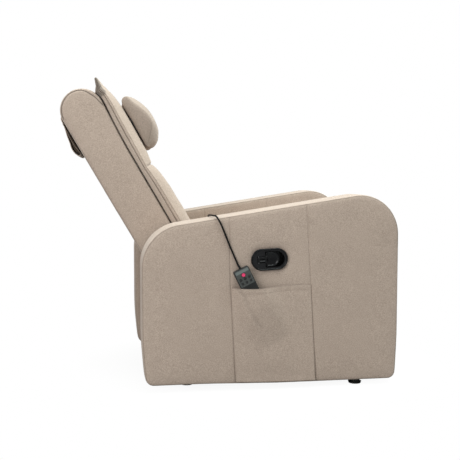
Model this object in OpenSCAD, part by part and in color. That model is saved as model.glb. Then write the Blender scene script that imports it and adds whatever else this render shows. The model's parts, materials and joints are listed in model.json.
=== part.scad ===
// Reclining massage armchair: upholstered arms, a leaning back with a pillow-top pad and a
// weighted head pillow, a linkage footrest released by a cup handle, vibration motors under
// the upholstery and a corded remote control in a side pocket.
// Frame: +X is the way the sitter faces, +Z is up, the floor is Z = 0 and the origin lies on
// the floor at the middle of the arms' length and of the chair's width. Millimetres.

/* [Arms] */
// Length of an arm from its rear edge to its front edge
arm_length = 840; // [800:10:880]
// Distance between the outer faces of the two arms
chair_width = 800; // [800:10:900]
// Thickness of an arm
arm_thickness = 150; // [140:5:150]
// Height of an arm's underside above the floor
arm_bottom = 22; // [18:1:26]
// Slope of the top of an arm, rising to the front, in degrees
arm_slope = 8.8; // [7:0.2:10]
// Radius of the front top corner of an arm
front_corner_r = 130; // [110:5:140]
// Radius of the rear top corner of an arm
rear_corner_r = 140; // [120:5:150]
// Height of an arm's top line above the origin
arm_line = 582; // [575:1:590]
// Thickness of the padding and cover on an arm
arm_padding = 12; // [10:1:14]

/* [Seat] */
// Height of the seat cushion's top above the floor
seat_height = 455; // [450:5:465]
// Height of the seat cushion's underside above the floor
seat_underside = 351; // [351:1:356]
// Front face of the seat cushion, measured forwards from the origin
seat_front = 395; // [385:5:397]
// Rear face of the seat cushion, measured backwards from the origin
seat_rear = 196; // [188:2:198]
// Half of the width of the seat and the back
half_gap = 243; // [238:1:243]

/* [Back] */
// Lean of the back from the vertical at rest, in degrees
back_lean = 30; // [28:1:31]
// Thickness of the back's box
back_thickness = 143; // [138:1:146]
// Distance from the centre of the rounded top down to the bottom of the box
back_length = 650; // [640:5:655]
// Distance from the centre of the rounded top down to the recline hinge
hinge_drop = 700; // [695:1:705]
// Thickness of the pillow-top pad
pad_thickness = 52; // [45:1:55]

/* [Footrest] */
// Length of the two main footrest links between their pivots
link_length = 220; // [220:1:221]
// Angle of the main links from the horizontal when folded, in degrees
main_fold = -90.22; // [-90.4:0.02:-90]
// Angle of the outer links from the horizontal when folded, in degrees
outer_fold = 47.42; // [47:0.02:48]
// Height of the footrest panel
footrest_height = 260; // [250:5:264]

/* [Controls] */
// Length of the oval bezel round the pull handle
bezel_length = 119; // [116:1:124]
// Height of the oval bezel round the pull handle
bezel_height = 69.5; // [67:0.5:72]
// Width of the remote control
remote_width = 52; // [50:1:56]
// Length of the remote control
remote_length = 130; // [125:1:140]
// Tilt of the remote control in its pocket, in degrees
remote_tilt = 26; // [22:0.2:27]
// Radius of the remote control's cord
cord_r = 2.6; // [2.2:0.1:2.6]

/* [Hidden] */
$fn = 48;

// Colours
cloth = [0.68, 0.60, 0.54];
cloth_light = [0.84, 0.79, 0.72];
steel = [0.35, 0.36, 0.38];
zinc = [0.70, 0.71, 0.73];
black = [0.06, 0.06, 0.07];
timber = [0.78, 0.63, 0.43];

// Arms
half_width = chair_width / 2;
arm_inner = half_width - arm_thickness;
half_length = arm_length / 2;
front_corner_x = half_length - front_corner_r;
rear_corner_x = rear_corner_r - half_length;
bottom_corner_r = 25;
top_line = arm_line * cos(arm_slope);
front_corner_z = (top_line - front_corner_r + front_corner_x * sin(arm_slope)) / cos(arm_slope);
rear_corner_z = (top_line - rear_corner_r + rear_corner_x * sin(arm_slope)) / cos(arm_slope);

// Back: the centre of its rounded top, and its hinge
back_r = back_thickness / 2;
cap_x = -600;
cap_z = 898;
hinge_x = cap_x + hinge_drop * sin(back_lean);
hinge_z = cap_z - hinge_drop * cos(back_lean);
box_wall = 14;
pad_front = back_r + pad_thickness;
box_taper = 7.5;
pad_bottom = 600;
pad_dip = 13;

// Mechanism: flat links in layers across the chair, layer 0 outermost
plate_t = 4;
layer_step = 5;
layer_0 = 226;
pin_r = 4;
running_gap = 0.05;
plate_face = layer_0 + plate_t;
rail_places = [-300, 58];
link_half = 8;
main_x = 190;
main_z = 290;
rear_x = 140.5;
rear_z = 276.5;
rear_fold = -87.46;
rear_length = 227.2;
tail_x = -40;
tail_z = 14;
drive_x = 258.8;
drive_z = -14;
drive_turn = 137.48;
drive_length = 219.6;
stud_x = -13.9;
stud_z = -39.6;
tube_x = 110;
tube_z = 16;
tube_r = 8;
knee_x = main_x + link_length * cos(main_fold);
knee_z = main_z + link_length * sin(main_fold);
ankle_x = knee_x + link_length * cos(outer_fold);
ankle_z = knee_z + link_length * sin(outer_fold);
pawl_x = 155;
pawl_z = 245;
board_back = 14;
board_t = 14;
footrest_top = 90;

// Motors: a can, its shaft and an eccentric weight on the shaft, all along Y
can_r = 14;
can_length = 36;
shaft_r = 2;
shaft_length = 16;
weight_r = 16;
weight_t = 8;
back_motor_v = 38;
shoulder_u = -150;
lumbar_u = -430;
back_motor_y = 95;
seat_motor_x = 20;
seat_motor_y = 100;
seat_motor_z = 329;

// Controls
bezel_x = -14;
bezel_z = 421.4;
bezel_tilt = 2.8;
flange_t = 4;
cup_depth = 34;
cup_margin = 11;
cup_wall = 3;
lever_hinge = -35;
lever_y = -half_width - 0.5;
lever_pin_r = 1.5;
lever_hub_r = 3.2;
lug_start = 10.5;
lug_end = 18;
pocket_rear = -131;
pocket_front = 116;
pocket_bottom = 28;
pocket_top = 336;
pocket_depth = 26;
pocket_wall = 3;
pocket_seam = 262;
remote_x = -110.8;
remote_z = 394.3;
remote_t = 15;
remote_gap = 7.4;
key_r = 3.2;
button_r = 5.5;
button_drop = 21;
window_drop = 14;
window_width = 44;
window_height = 10;
cord_x = -190;
rear_panel_x = -400;
rear_panel_t = 14;
rear_panel_top = 270;
inlet_y = -120;
inlet_z = 96;
inlet_bore_r = 2.75;
inlet_depth = 10;

// ---- Helpers ----

// Extrudes a shape drawn in X and Z from y to y + t
module slab(y, t) {
    translate([0, y + t, 0]) rotate([90, 0, 0]) linear_extrude(t) children();
}

// The children and their mirror image across the chair
module both() {
    children();
    mirror([0, 1, 0]) children();
}

// A frame at (x, z) turned by an angle in the X-Z plane, from +X towards +Z
module at(x, z, angle = 0) {
    translate([x, 0, z]) rotate([0, -angle, 0]) children();
}

// A round bar along Y from y to y + length
module bar(x, z, r, y, length) {
    translate([x, y, z]) rotate([-90, 0, 0]) cylinder(r = r, h = length);
}

// The frame of the back: X out of its front face, Z up its length, origin at the round top
module in_back() {
    at(cap_x, cap_z, back_lean) children();
}

// The frame of the remote control: X across it, Z up it, origin in the middle of its face
module in_remote() {
    at(remote_x, remote_z, remote_tilt)
        translate([0, -half_width - remote_gap - remote_t / 2, -remote_length / 2]) children();
}

// The frame of the pull handle's bezel: X along it, Z up it, origin at its centre
module in_bezel() {
    at(bezel_x, bezel_z, bezel_tilt) children();
}

// Points of an arc from a0 to a1 degrees about (x, z)
function arc(x, z, r, a0, a1, steps) =
    [for (i = [0:steps]) let (a = a0 + (a1 - a0) * i / steps) [x + r * cos(a), z + r * sin(a)]];

// Outline of an arm, inset by d
module arm_outline(d = 0) {
    polygon(concat(
        arc(half_length - bottom_corner_r, arm_bottom + bottom_corner_r,
            bottom_corner_r - d, -90, 0, 4),
        arc(front_corner_x, front_corner_z, front_corner_r - d, 0, 90 + arm_slope, 16),
        arc(rear_corner_x, rear_corner_z, rear_corner_r - d, 90 + arm_slope, 180, 16),
        arc(bottom_corner_r - half_length, arm_bottom + bottom_corner_r,
            bottom_corner_r - d, 180, 270, 4)
    ));
}

// A stadium of the given overall length and height, centred on the origin
module stadium(length, height) {
    straight = length - height;
    square([straight, height], center = true);
    for (s = [-1, 1]) translate([s * straight / 2, 0]) circle(r = height / 2);
}

// A flat link along X with a round end at each pivot and a hole at each
module link_shape(length, half, hole_a, hole_b) {
    difference() {
        union() {
            translate([0, -half]) square([length, 2 * half]);
            for (x = [0, length]) translate([x, 0]) circle(r = half);
        }
        circle(r = hole_a);
        translate([length, 0]) circle(r = hole_b);
    }
}

// A wave of round wire, drawn flat: a ribbon that follows a sine curve along X
module wave(x0, x1, swing, waves, wire, height) {
    steps = waves * 12;
    function px(i) = x0 + (x1 - x0) * i / steps;
    function py(i, side) = swing * sin(360 * waves * i / steps) + side * wire / 2;
    linear_extrude(height) polygon(concat(
        [for (i = [0:steps]) [px(i), py(i, -1) - 0.35 * wire * abs(cos(360 * waves * i / steps))]],
        [for (i = [steps:-1:0]) [px(i), py(i, 1) + 0.35 * wire * abs(cos(360 * waves * i / steps))]]
    ));
}

// A round cord of radius r along straight runs between the points of a path
module run_along(path, r) {
    for (i = [1:len(path) - 1]) {
        d = path[i] - path[i - 1];
        translate(path[i - 1]) rotate([0, acos(d[2] / norm(d)), atan2(d[1], d[0])])
            cylinder(r = r, h = norm(d));
        if (i < len(path) - 1) translate(path[i]) sphere(r = r + 0.1);
    }
}

// Places children at the four bolts that hold each arm to the base
module at_base_bolts() {
    for (x = [-315, -180, 0, 150]) translate([x, 0, 66]) children();
}

// ---- Base ----

module base_frame() {
    color(steel) difference() {
        union() {
            both() translate([-335, plate_face, 48]) {
                cube([585, 3, 36]);
                cube([585, 19.5, 3]);
            }
            for (x = rail_places) translate([x, -plate_face, 50])
                cube([24, 2 * plate_face, 24]);
        }
        both() at_base_bolts() bar(0, 0, pin_r + running_gap, plate_face - 1, 5);
    }
}

module foot() {
    cylinder(r1 = 20, r2 = 22, h = 6);
    cylinder(r = 16, h = arm_bottom + arm_padding + 1);
}

// Two feet under the front of the arms and two set in under the rear
module feet() {
    color(black) both() {
        translate([285, half_width - 38, 0]) foot();
        translate([-270, arm_inner + 45, 0]) foot();
    }
}

module base_bolts() {
    color(zinc) both() at_base_bolts() {
        bar(0, 0, pin_r, plate_face, 45);
        translate([0, plate_face - 5, 0]) rotate([-90, 0, 0]) cylinder(r = 7.5, h = 5, $fn = 6);
    }
}

// Steel plates that carry the seat, the back hinge and the footrest pivots
module side_plate_shape() {
    difference() {
        union() {
            translate([hinge_x - 25, 258]) square([main_x - hinge_x + 30, 60]);
            translate([hinge_x - 25, 50]) square([60, 210]);
            translate([40, 50]) square([70, 210]);
            translate([pawl_x - 18, pawl_z - 14]) square([36, 40]);
            translate([main_x, main_z]) circle(r = 28);
        }
        for (p = [[hinge_x, hinge_z], [main_x, main_z], [rear_x, rear_z], [pawl_x, pawl_z]])
            translate(p) circle(r = pin_r + running_gap);
        for (x = rail_places) translate([x - 0.2, 49]) square([24.4, 25.2]);
    }
}

module side_plates() {
    color(steel) both() {
        slab(layer_0, plate_t) side_plate_shape();
        translate([-140, 203, 318]) cube([345, layer_0 + plate_t - 203, 4]);
    }
}

// Fixed pins: main links, rear links, recline hinge and, on the right side, the pawl
module base_pins() {
    color(zinc) {
        both() {
            bar(main_x, main_z, pin_r, layer_0 - layer_step, 9);
            bar(main_x, main_z, 7, layer_0 + plate_t, 3);
            bar(rear_x, rear_z, pin_r, layer_0 - 3 * layer_step, 19);
            bar(rear_x, rear_z, 7, layer_0 + plate_t, 3);
            bar(rear_x, rear_z, 6, layer_0 - 2 * layer_step, 9.5);
            bar(hinge_x, hinge_z, pin_r, layer_0 - layer_step, 9);
            bar(hinge_x, hinge_z, 7, layer_0 + plate_t, 3);
        }
        bar(pawl_x, pawl_z, pin_r, -plate_face - 9, 18);
        bar(pawl_x, pawl_z, 7, -plate_face - 11, 2);
    }
}

// ---- Arms ----

// Timber frame of an arm on the +Y side: two panels joined by posts and rails
module arm_timber() {
    inset = arm_padding + 1;
    panel_t = 12;
    inner = arm_inner + inset;
    outer = half_width - inset - panel_t;
    difference() {
        union() {
            for (y = [inner, outer]) slab(y, panel_t) difference() {
                arm_outline(inset);
                translate([-300, 130]) square([170, 230]);
                translate([150, 130]) square([170, 230]);
            }
            for (x = [-400, 360]) translate([x, inner + panel_t, 60])
                cube([40, outer - inner - panel_t, 300]);
            for (x = [-300, -40, 220]) translate([x, inner + panel_t, arm_bottom + inset])
                cube([80, outer - inner - panel_t, 40]);
        }
        at_base_bolts() bar(0, 0, pin_r + running_gap, arm_inner, 60);
    }
}

module arm_frame_left() {
    color(timber) arm_timber();
}

module arm_frame_right() {
    color(timber) difference() {
        mirror([0, 1, 0]) arm_timber();
        in_bezel() slab(-half_width, 26)
            stadium(bezel_length - cup_margin + 4, bezel_height - cup_margin + 4);
        bar(bezel_x + 20, bezel_z - 40, 5, -arm_inner - 40, 40);
    }
}

// Padded cover of an arm on the +Y side, open underneath
module arm_padding_shell() {
    difference() {
        slab(arm_inner, arm_thickness) arm_outline();
        slab(arm_inner + arm_padding, arm_thickness - 2 * arm_padding) union() {
            arm_outline(arm_padding);
            translate([-half_length + 30, arm_bottom - 5]) square([arm_length - 60, 40]);
        }
        at_base_bolts() bar(0, 0, pin_r + running_gap, arm_inner - 1, 20);
    }
}

module arm_cover_left() {
    color(cloth) arm_padding_shell();
}

module arm_cover_right() {
    color(cloth) difference() {
        mirror([0, 1, 0]) arm_padding_shell();
        in_bezel() slab(-half_width - 1, arm_padding + 2)
            stadium(bezel_length - cup_margin + 2, bezel_height - cup_margin + 2);
        bar(bezel_x + 20, bezel_z - 40, 5, -arm_inner - 20, 22);
    }
}

// Patch pocket on the outside of the right arm, open at the top, with a seam across it that
// holds the remote control up
module side_pocket() {
    width = pocket_front - pocket_rear;
    color(cloth) translate([pocket_rear, -half_width - pocket_depth, 0]) {
        difference() {
            translate([0, 0, pocket_bottom])
                cube([width, pocket_depth - 0.2, pocket_top - pocket_bottom]);
            translate([4, pocket_wall, pocket_bottom + 4])
                cube([width - 8, pocket_depth, pocket_top - pocket_bottom]);
        }
        translate([2, 2, pocket_seam]) cube([width - 4, pocket_depth - 2.2, pocket_wall]);
    }
}

// ---- Pull handle ----

// A straight tab from x0 to x1 that opens into a D with a round end at x2
module lever_shape(x0, x1, x2, tab_half, r) {
    translate([x0, -tab_half]) square([x1 - x0 + 1, 2 * tab_half]);
    translate([x1, -r]) square([x2 - r - x1, 2 * r]);
    translate([x2 - r, 0]) circle(r = r);
}

// Oval face plate with a cup behind it, a D-shaped finger opening and two hinge lugs
module handle_bezel() {
    color(black) difference() {
        in_bezel() difference() {
            union() {
                slab(-half_width - flange_t, flange_t - 0.2) stadium(bezel_length, bezel_height);
                slab(lever_y, cup_depth)
                    stadium(bezel_length - cup_margin, bezel_height - cup_margin);
            }
            difference() {
                slab(-half_width - 0.2, cup_depth - cup_wall - 0.3) stadium(
                    bezel_length - cup_margin - 2 * cup_wall,
                    bezel_height - cup_margin - 2 * cup_wall
                );
                for (z = [-lug_end, lug_start]) translate([lever_hinge - 4, lever_y, z])
                    cube([8, 4.5, lug_end - lug_start]);
            }
            slab(-half_width - flange_t - 1, flange_t + 1)
                lever_shape(lever_hinge - 4.5, -13.5, 49.6, lug_start, 25.5);
            translate([lever_hinge, lever_y, -lug_end - 0.2])
                cylinder(r = lever_pin_r + running_gap, h = 2 * lug_end + 0.4);
        }
        bar(bezel_x + 20, bezel_z - 8, 2.4, -half_width + 10, 50);
    }
}

module handle_pin() {
    color(zinc) in_bezel() translate([lever_hinge, lever_y, -lug_end])
        cylinder(r = lever_pin_r, h = 2 * lug_end);
}

// Lever plate: a narrow tab at the hinge that widens to a D-shaped finger grip
module pull_handle() {
    color(black) in_bezel() difference() {
        union() {
            slab(-half_width - 3, 4) lever_shape(lever_hinge, -11.6, 31.3, 9, 23.5);
            translate([lever_hinge, lever_y, -9]) cylinder(r = lever_hub_r, h = 18);
        }
        translate([lever_hinge, lever_y, -10]) cylinder(r = lever_pin_r + 0.08, h = 20);
    }
}

// Sheathed cable from the handle's cup, through the arm and down to the pawl's tail
module release_cable() {
    inner_y = 3.4 - arm_inner;
    arm_y = -half_width + cup_depth + 49;
    drop_x = bezel_x + 20;
    cross_z = bezel_z - 40;
    path = [
        [drop_x, -half_width + cup_depth - 6, bezel_z - 8], [drop_x, arm_y, bezel_z - 8],
        [drop_x, arm_y, cross_z], [drop_x, inner_y, cross_z], [drop_x, inner_y, pawl_z],
        [pawl_x - 32, inner_y, pawl_z], [pawl_x - 32, -layer_0, pawl_z]
    ];
    color(black) run_along(path, 2);
}

// ---- Seat ----

module seat_frame() {
    color(timber) {
        both() translate([-150, 200, 322]) cube([490, 43, 24]);
        for (x = [-150, 300]) translate([x, -200, 322]) cube([40, 400, 24]);
    }
}

module seat_springs() {
    color(zinc) for (y = [-160, -80, 0, 80, 160]) translate([0, y, 346.2])
        wave(-146, 336, 22, 8, 3.4, 4);
}

module seat_cushion() {
    nose = (seat_height - seat_underside) / 2;
    mid = (seat_height + seat_underside) / 2;
    tail = 24;
    color(cloth) slab(-half_gap, 2 * half_gap) polygon(concat(
        arc(seat_front - nose, mid, nose, -90, 90, 16),
        arc(tail - seat_rear, seat_height - tail, tail, 90, 180, 6),
        arc(tail - seat_rear, seat_underside + tail, tail, 180, 270, 6)
    ));
}

// A vibration motor with its shaft pointing along +Y from the origin
module motor() {
    bar(0, 0, can_r, -can_length, can_length);
    bar(0, 0, 5, 0, 3);
    bar(0, 0, shaft_r, 0, shaft_length);
    bar(0, 0, 4, -can_length - 4, 4);
}

// The eccentric weight of a motor: a half disc with a round hub
module weight() {
    slab(4, weight_t) difference() {
        union() {
            circle(r = 5);
            difference() {
                circle(r = weight_r);
                translate([-weight_r - 1, 0]) square([2 * weight_r + 2, weight_r + 1]);
            }
        }
        circle(r = shaft_r + running_gap);
    }
}

module at_seat_motor(side) {
    translate([seat_motor_x, side * seat_motor_y, seat_motor_z]) children();
}

module seat_motors() {
    color(zinc) for (side = [-1, 1]) at_seat_motor(side) {
        motor();
        translate([-22, -can_length, can_r - 1]) cube([44, can_length, 4]);
    }
}

module seat_weight_left() {
    color(steel) at_seat_motor(1) weight();
}

module seat_weight_right() {
    color(steel) at_seat_motor(-1) weight();
}

// ---- Electrics and closing panels ----

module rear_panel() {
    color(cloth) difference() {
        translate([rear_panel_x, -arm_inner + 0.5, 90])
            cube([rear_panel_t, 2 * arm_inner - 1, rear_panel_top - 90]);
        translate([rear_panel_x - 1, inlet_y, inlet_z + 20]) rotate([0, 90, 0])
            cylinder(r = 9.1, h = rear_panel_t + 2);
    }
}

module dust_cover() {
    color(black) translate([-380, -232, 45]) cube([400, 464, 2.5]);
}

module control_box() {
    color(black) difference() {
        translate([rear_panel_x + rear_panel_t + 0.3, -190, 140]) cube([36, 130, 90]);
        translate([rear_panel_x + rear_panel_t + 3.3, -187, 143]) cube([30, 124, 84]);
    }
}

// Low-voltage inlet for the plug-in power supply, in the rear panel
module power_inlet() {
    color(black) translate([rear_panel_x, inlet_y, inlet_z + 20]) rotate([0, 90, 0]) difference() {
        union() {
            translate([0, 0, -2]) cylinder(r = 12, h = 2);
            cylinder(r = 9, h = rear_panel_t);
            translate([0, 0, rear_panel_t]) cylinder(r = 6, h = 12);
        }
        translate([0, 0, -3]) cylinder(r = inlet_bore_r, h = inlet_depth + 1);
    }
}

// Cord from the remote control, up the arm, over it and down inside to the control box
module remote_cord() {
    face = -half_width - cord_r - 1;
    over = arm_line + cord_x * tan(arm_slope) + cord_r + 1;
    inside = -arm_inner + cord_r + 0.6;
    path = [
        [remote_x - 1.3, face, remote_z + 2.9], [-130, face, 438], [-157, face, 503],
        [-177, face, over - 8], [cord_x, face, over + 1], [cord_x, inside, over + 1],
        [cord_x, inside, 190], [cord_x, -150, 190],
        [rear_panel_x + rear_panel_t + 38, -150, 190]
    ];
    color(black) run_along(path, cord_r);
}

// ---- Remote control ----

module remote_case() {
    w = remote_width / 2;
    h = remote_length / 2;
    color(black) in_remote() difference() {
        slab(-remote_t / 2, remote_t) union() {
            square([2 * w - 10, 2 * h], center = true);
            square([2 * w, 2 * h - 10], center = true);
            for (x = [5 - w, w - 5], z = [5 - h, h - 5]) translate([x, z]) circle(r = 5);
        }
        translate([-window_width / 2, -remote_t / 2 - 1, h - window_drop])
            cube([window_width, 2, window_height]);
        bar(0, h - button_drop, button_r + 0.08, -remote_t / 2 - 1, 4);
        for (k = key_places) bar(k[0], k[1], key_r + 0.08, -remote_t / 2 - 1, 4);
    }
}

// Key centres on the remote control: two rows of three
key_places = [for (row = [0, 1], column = [-1, 0, 1])
    [column * 14.6, remote_length / 2 - 34 - row * 13]];

module remote_window() {
    color(steel) in_remote()
        translate([0.2 - window_width / 2, -remote_t / 2 - 0.6, remote_length / 2 - window_drop + 0.2])
            cube([window_width - 0.4, 1.5, window_height - 0.4]);
}

module power_button() {
    color([0.80, 0.12, 0.25]) in_remote()
        bar(0, remote_length / 2 - button_drop, button_r, -remote_t / 2 - 1.6, 3);
}

module key(i) {
    color(steel) in_remote() bar(key_places[i][0], key_places[i][1], key_r, -remote_t / 2 - 1.6, 3);
}

// ---- Back ----

// Profile of the back's box: straight sides and a half-round top, inset by d. The front face
// draws in by the taper below the top
module box_outline(d = 0, taper = 0) {
    r = back_r - d;
    polygon(concat(
        [[-r, -back_length + d], [r - taper, -back_length + d], [r - taper, -180]],
        arc(0, 0, r, 0, 180, 24)
    ));
}

module back_box() {
    color(cloth) in_back() difference() {
        slab(-half_gap, 2 * half_gap) box_outline(taper = box_taper);
        slab(-half_gap + box_wall, 2 * (half_gap - box_wall)) box_outline(box_wall);
        both() translate([-22, 206, -back_length - 5]) cube([44, 24, 30]);
    }
}

// Timber frame inside the box
module back_frame() {
    reach = half_gap - box_wall - 1;
    bottom = box_wall + 1 - back_length;
    color(timber) in_back() difference() {
        translate([-14, -reach, bottom]) cube([28, 2 * reach, -bottom + 20]);
        translate([-15, -reach + 45, bottom + 50]) cube([30, 2 * reach - 90, -bottom - 90]);
        both() translate([-23, layer_0 - layer_step, bottom - 5]) cube([46, 20, 110]);
    }
}

module back_springs() {
    color(zinc) in_back() for (u = [shoulder_u, -290, lumbar_u, -560]) translate([14.2, 0, u])
        rotate([90, 0, 90]) wave(-200, 200, 18, 7, 3.4, 3.5);
}

// Steel brackets that join the frame to the recline hinge
module back_brackets() {
    color(steel) both() in_back() slab(layer_0 - layer_step, plate_t) difference() {
        union() {
            translate([-20, -hinge_drop]) square([40, 150]);
            translate([0, -hinge_drop]) circle(r = 20);
        }
        translate([0, -hinge_drop]) circle(r = pin_r + running_gap);
    }
}

// Pillow-top pad on the front of the back, with a pointed top edge that dips in the middle
module back_pad() {
    foot = back_r - box_taper + 1;
    peak = 71;
    function edge(y) = peak - pad_dip * (1 - pow(y / half_gap, 2));
    color(cloth_light) in_back() difference() {
        slab(-half_gap, 2 * half_gap) polygon([
            [foot, -pad_bottom], [pad_front, -pad_bottom + 22], [pad_front + 4, -pad_bottom + 60],
            [pad_front + 4, -330], [pad_front - 4, -262], [pad_front - 2, -200],
            [pad_front - 5, -30], [pad_front - 12, 30], [pad_front - 22, 62],
            [pad_front - 28, peak], [back_r + 16.5, 69.5], [back_r + 5, 42], [back_r - 4, 33],
            [back_r + 1.1, 15], [back_r + 1.5, -5], [foot, -182]
        ]);
        rotate([90, 0, 90]) linear_extrude(pad_front + 10) polygon(concat(
            [for (i = [-9:9]) [i * half_gap / 9, edge(i * half_gap / 9)]],
            [[half_gap + 1, peak], [half_gap + 1, peak + 9], [-half_gap - 1, peak + 9],
             [-half_gap - 1, peak]]
        ));
    }
}

module at_back_motor(u, side) {
    in_back() translate([back_motor_v, side * back_motor_y, u]) children();
}

module back_motors() {
    color(zinc) for (u = [shoulder_u, lumbar_u], side = [-1, 1]) at_back_motor(u, side) {
        motor();
        translate([-can_r - 6.2, -can_length, -22]) cube([7.2, can_length, 44]);
    }
}

module shoulder_weight_left() {
    color(steel) at_back_motor(shoulder_u, 1) weight();
}

module shoulder_weight_right() {
    color(steel) at_back_motor(shoulder_u, -1) weight();
}

module lumbar_weight_left() {
    color(steel) at_back_motor(lumbar_u, 1) weight();
}

module lumbar_weight_right() {
    color(steel) at_back_motor(lumbar_u, -1) weight();
}

// Strap of the head pillow: over the pad and the round top, then a wider flap down behind
// that ends in a roll
module pillow_strap() {
    t = 3;
    r = back_r + 1;
    rear = -back_r;
    color(cloth) in_back() {
        slab(-95, 190) polygon(concat(
            [[pad_front - 1, -150], [pad_front + 2, -150], [pad_front - 1, -30],
             [pad_front - 8, 31], [pad_front - 18, 64.3], [back_r + 11.8, 64.3],
             [back_r - 2.3, 45.2], [back_r - 5.9, 40.8]],
            arc(0, 0, r + t, 38, 170, 33),
            arc(0, 0, r, 170, 38, 33),
            [[back_r - 5.5, 37.5], [back_r + 0.2, 43.5], [back_r + 11.1, 61.3],
             [pad_front - 20, 61.3], [pad_front - 10.9, 29], [pad_front - 3.9, -30]]
        ));
        slab(-190, 380) polygon(concat(
            arc(0, 0, r + t, 158, 170, 3),
            [[rear - 6, -20], [rear - 14.5, -47], [rear - 18.5, -66], [rear - 24, -87],
             [rear - 22.5, -105], [rear - 16.5, -118], [rear - 4.5, -127], [rear - 2, -127],
             [rear - 2, -122], [rear - 5.5, -121.5], [rear - 14, -114], [rear - 19.5, -103.5],
             [rear - 20.9, -87], [rear - 15.5, -66], [rear - 11.5, -47], [rear - 3.3, -20.5]],
            arc(0, 0, r, 170, 158, 3)
        ));
    }
}

module strap_buckle() {
    color(black) in_back() both()
        translate([pad_front - 1, 170, -114]) cube([7, 21, 20]);
}

// Head pillow: flat behind and round in front
module head_pillow() {
    depth = 66;
    half = 95;
    centre = -119;
    back = pad_front + 8;
    color(cloth_light) in_back() slab(-200, 400) polygon(
        [for (i = [0:24]) let (a = -90 + 180 * i / 24)
            [back + depth * cos(a), centre + half * sin(a)]]
    );
}

// ---- Footrest ----

// The frame of the main links, X along them from the fixed pivot
module on_main() {
    at(main_x, main_z, main_fold) children();
}

module on_outer() {
    at(knee_x, knee_z, outer_fold) children();
}

// Main link: a notched hub at the fixed pivot, an ear for the torque tube and a long tail
module main_links() {
    color(steel) both() on_main() slab(layer_0 - layer_step, plate_t) difference() {
        union() {
            translate([0, -11]) square([link_length, 22]);
            circle(r = 24);
            translate([link_length, 0]) circle(r = 11);
            polygon([[link_length - 10, -10], [link_length, 11], [drive_x + 4, drive_z + 8],
                [drive_x, drive_z - 9]]);
            translate([drive_x, drive_z]) circle(r = 9);
            translate([tube_x, tube_z]) circle(r = 13);
        }
        circle(r = pin_r + running_gap);
        translate([link_length, 0]) circle(r = pin_r + running_gap);
        translate([drive_x, drive_z]) circle(r = pin_r + running_gap);
        rotate(180 - main_fold) translate([20, -4]) square([6, 8]);
        translate([tube_x, tube_z]) circle(r = 5);
    }
}

module main_link_pins() {
    color(zinc) both() on_main() {
        bar(link_length, 0, pin_r, layer_0 - 2 * layer_step, 9);
        bar(link_length, 0, 7, layer_0 - 2 * layer_step - 2, 2);
        bar(drive_x, drive_z, pin_r, layer_0 - layer_step, 9);
        bar(drive_x, drive_z, 7, layer_0 + plate_t, 2);
    }
}

module torque_tube() {
    face = layer_0 - layer_step;
    color(steel) on_main() difference() {
        bar(tube_x, tube_z, tube_r, -face, 2 * face);
        bar(tube_x, tube_z, 5, -face - 1, 2 * face + 2);
    }
}

// Outer link, with a short tail behind the knee that the rear link steers
module outer_links() {
    color(steel) both() on_outer() slab(layer_0 - 2 * layer_step, plate_t) difference() {
        union() {
            link_shape(link_length, link_half, pin_r + running_gap, pin_r + running_gap);
            polygon([[0, -link_half], [6, link_half], [tail_x + 2, tail_z + 8], [tail_x - 2, tail_z - 8]]);
            translate([tail_x, tail_z]) circle(r = link_half + 0.5);
        }
        circle(r = pin_r + running_gap);
        translate([tail_x, tail_z]) circle(r = pin_r + running_gap);
    }
}

module outer_link_pins() {
    color(zinc) both() on_outer() {
        bar(link_length, 0, pin_r, layer_0 - 2 * layer_step, 9);
        bar(link_length, 0, 7, layer_0 - 2 * layer_step - 2, 2);
        bar(tail_x, tail_z, pin_r, layer_0 - 3 * layer_step - 1, 9.8);
    }
}

// Rear link: its lower end is a clearance hole round the pin in the outer link's tail
module rear_links() {
    color(steel) both() at(rear_x, rear_z, rear_fold) slab(layer_0 - 3 * layer_step, plate_t)
        difference() {
            union() {
                link_shape(rear_length, link_half, pin_r + running_gap, 6);
                translate([rear_length, 0]) circle(r = 10);
            }
            translate([rear_length, 0]) circle(r = 6);
        }
}

// Drive link: carries the footrest round as it rises; its upper end is a clearance hole
module drive_links() {
    color(steel) both() on_main() at(drive_x, drive_z, drive_turn) slab(layer_0 - 0.4, plate_t)
        link_shape(drive_length, link_half, pin_r + running_gap, pin_r + 0.5);
}

// Brackets behind the footrest board, each with a stud for the drive link
module footrest_brackets() {
    color(steel) both() at(ankle_x, ankle_z) {
        slab(layer_0 - layer_step, plate_t) difference() {
            union() {
                translate([0, -60]) square([board_back, 80]);
                circle(r = 10);
                polygon([[0, 9], [0, -60], [stud_x - 3, stud_z - 8], [stud_x - 8, stud_z + 4]]);
                translate([stud_x, stud_z]) circle(r = 9);
            }
            circle(r = pin_r + running_gap);
        }
        bar(stud_x, stud_z, pin_r, layer_0 - layer_step + 1, 8);
        bar(stud_x, stud_z, 7, layer_0 + plate_t, 2);
        translate([board_back - 3, layer_0 - layer_step - 22, -60]) cube([3, 24, 80]);
    }
}

module footrest_board() {
    color(timber) at(ankle_x, ankle_z)
        translate([board_back, -half_gap + 3, footrest_top - footrest_height + 6])
            cube([board_t, 2 * half_gap - 6, footrest_height - 12]);
}

module footrest_pad() {
    front = board_back + board_t + 30;
    back = board_back + board_t + 0.2;
    low = footrest_top - footrest_height;
    r = 16;
    color(cloth) at(ankle_x, ankle_z) slab(-half_gap, 2 * half_gap) polygon(concat(
        [[back, low]], arc(front - r, low + r, r, -90, 0, 5),
        arc(front - r, footrest_top - r, r, 0, 90, 5), [[back, footrest_top]]
    ));
}

// ---- Release pawl ----

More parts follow.
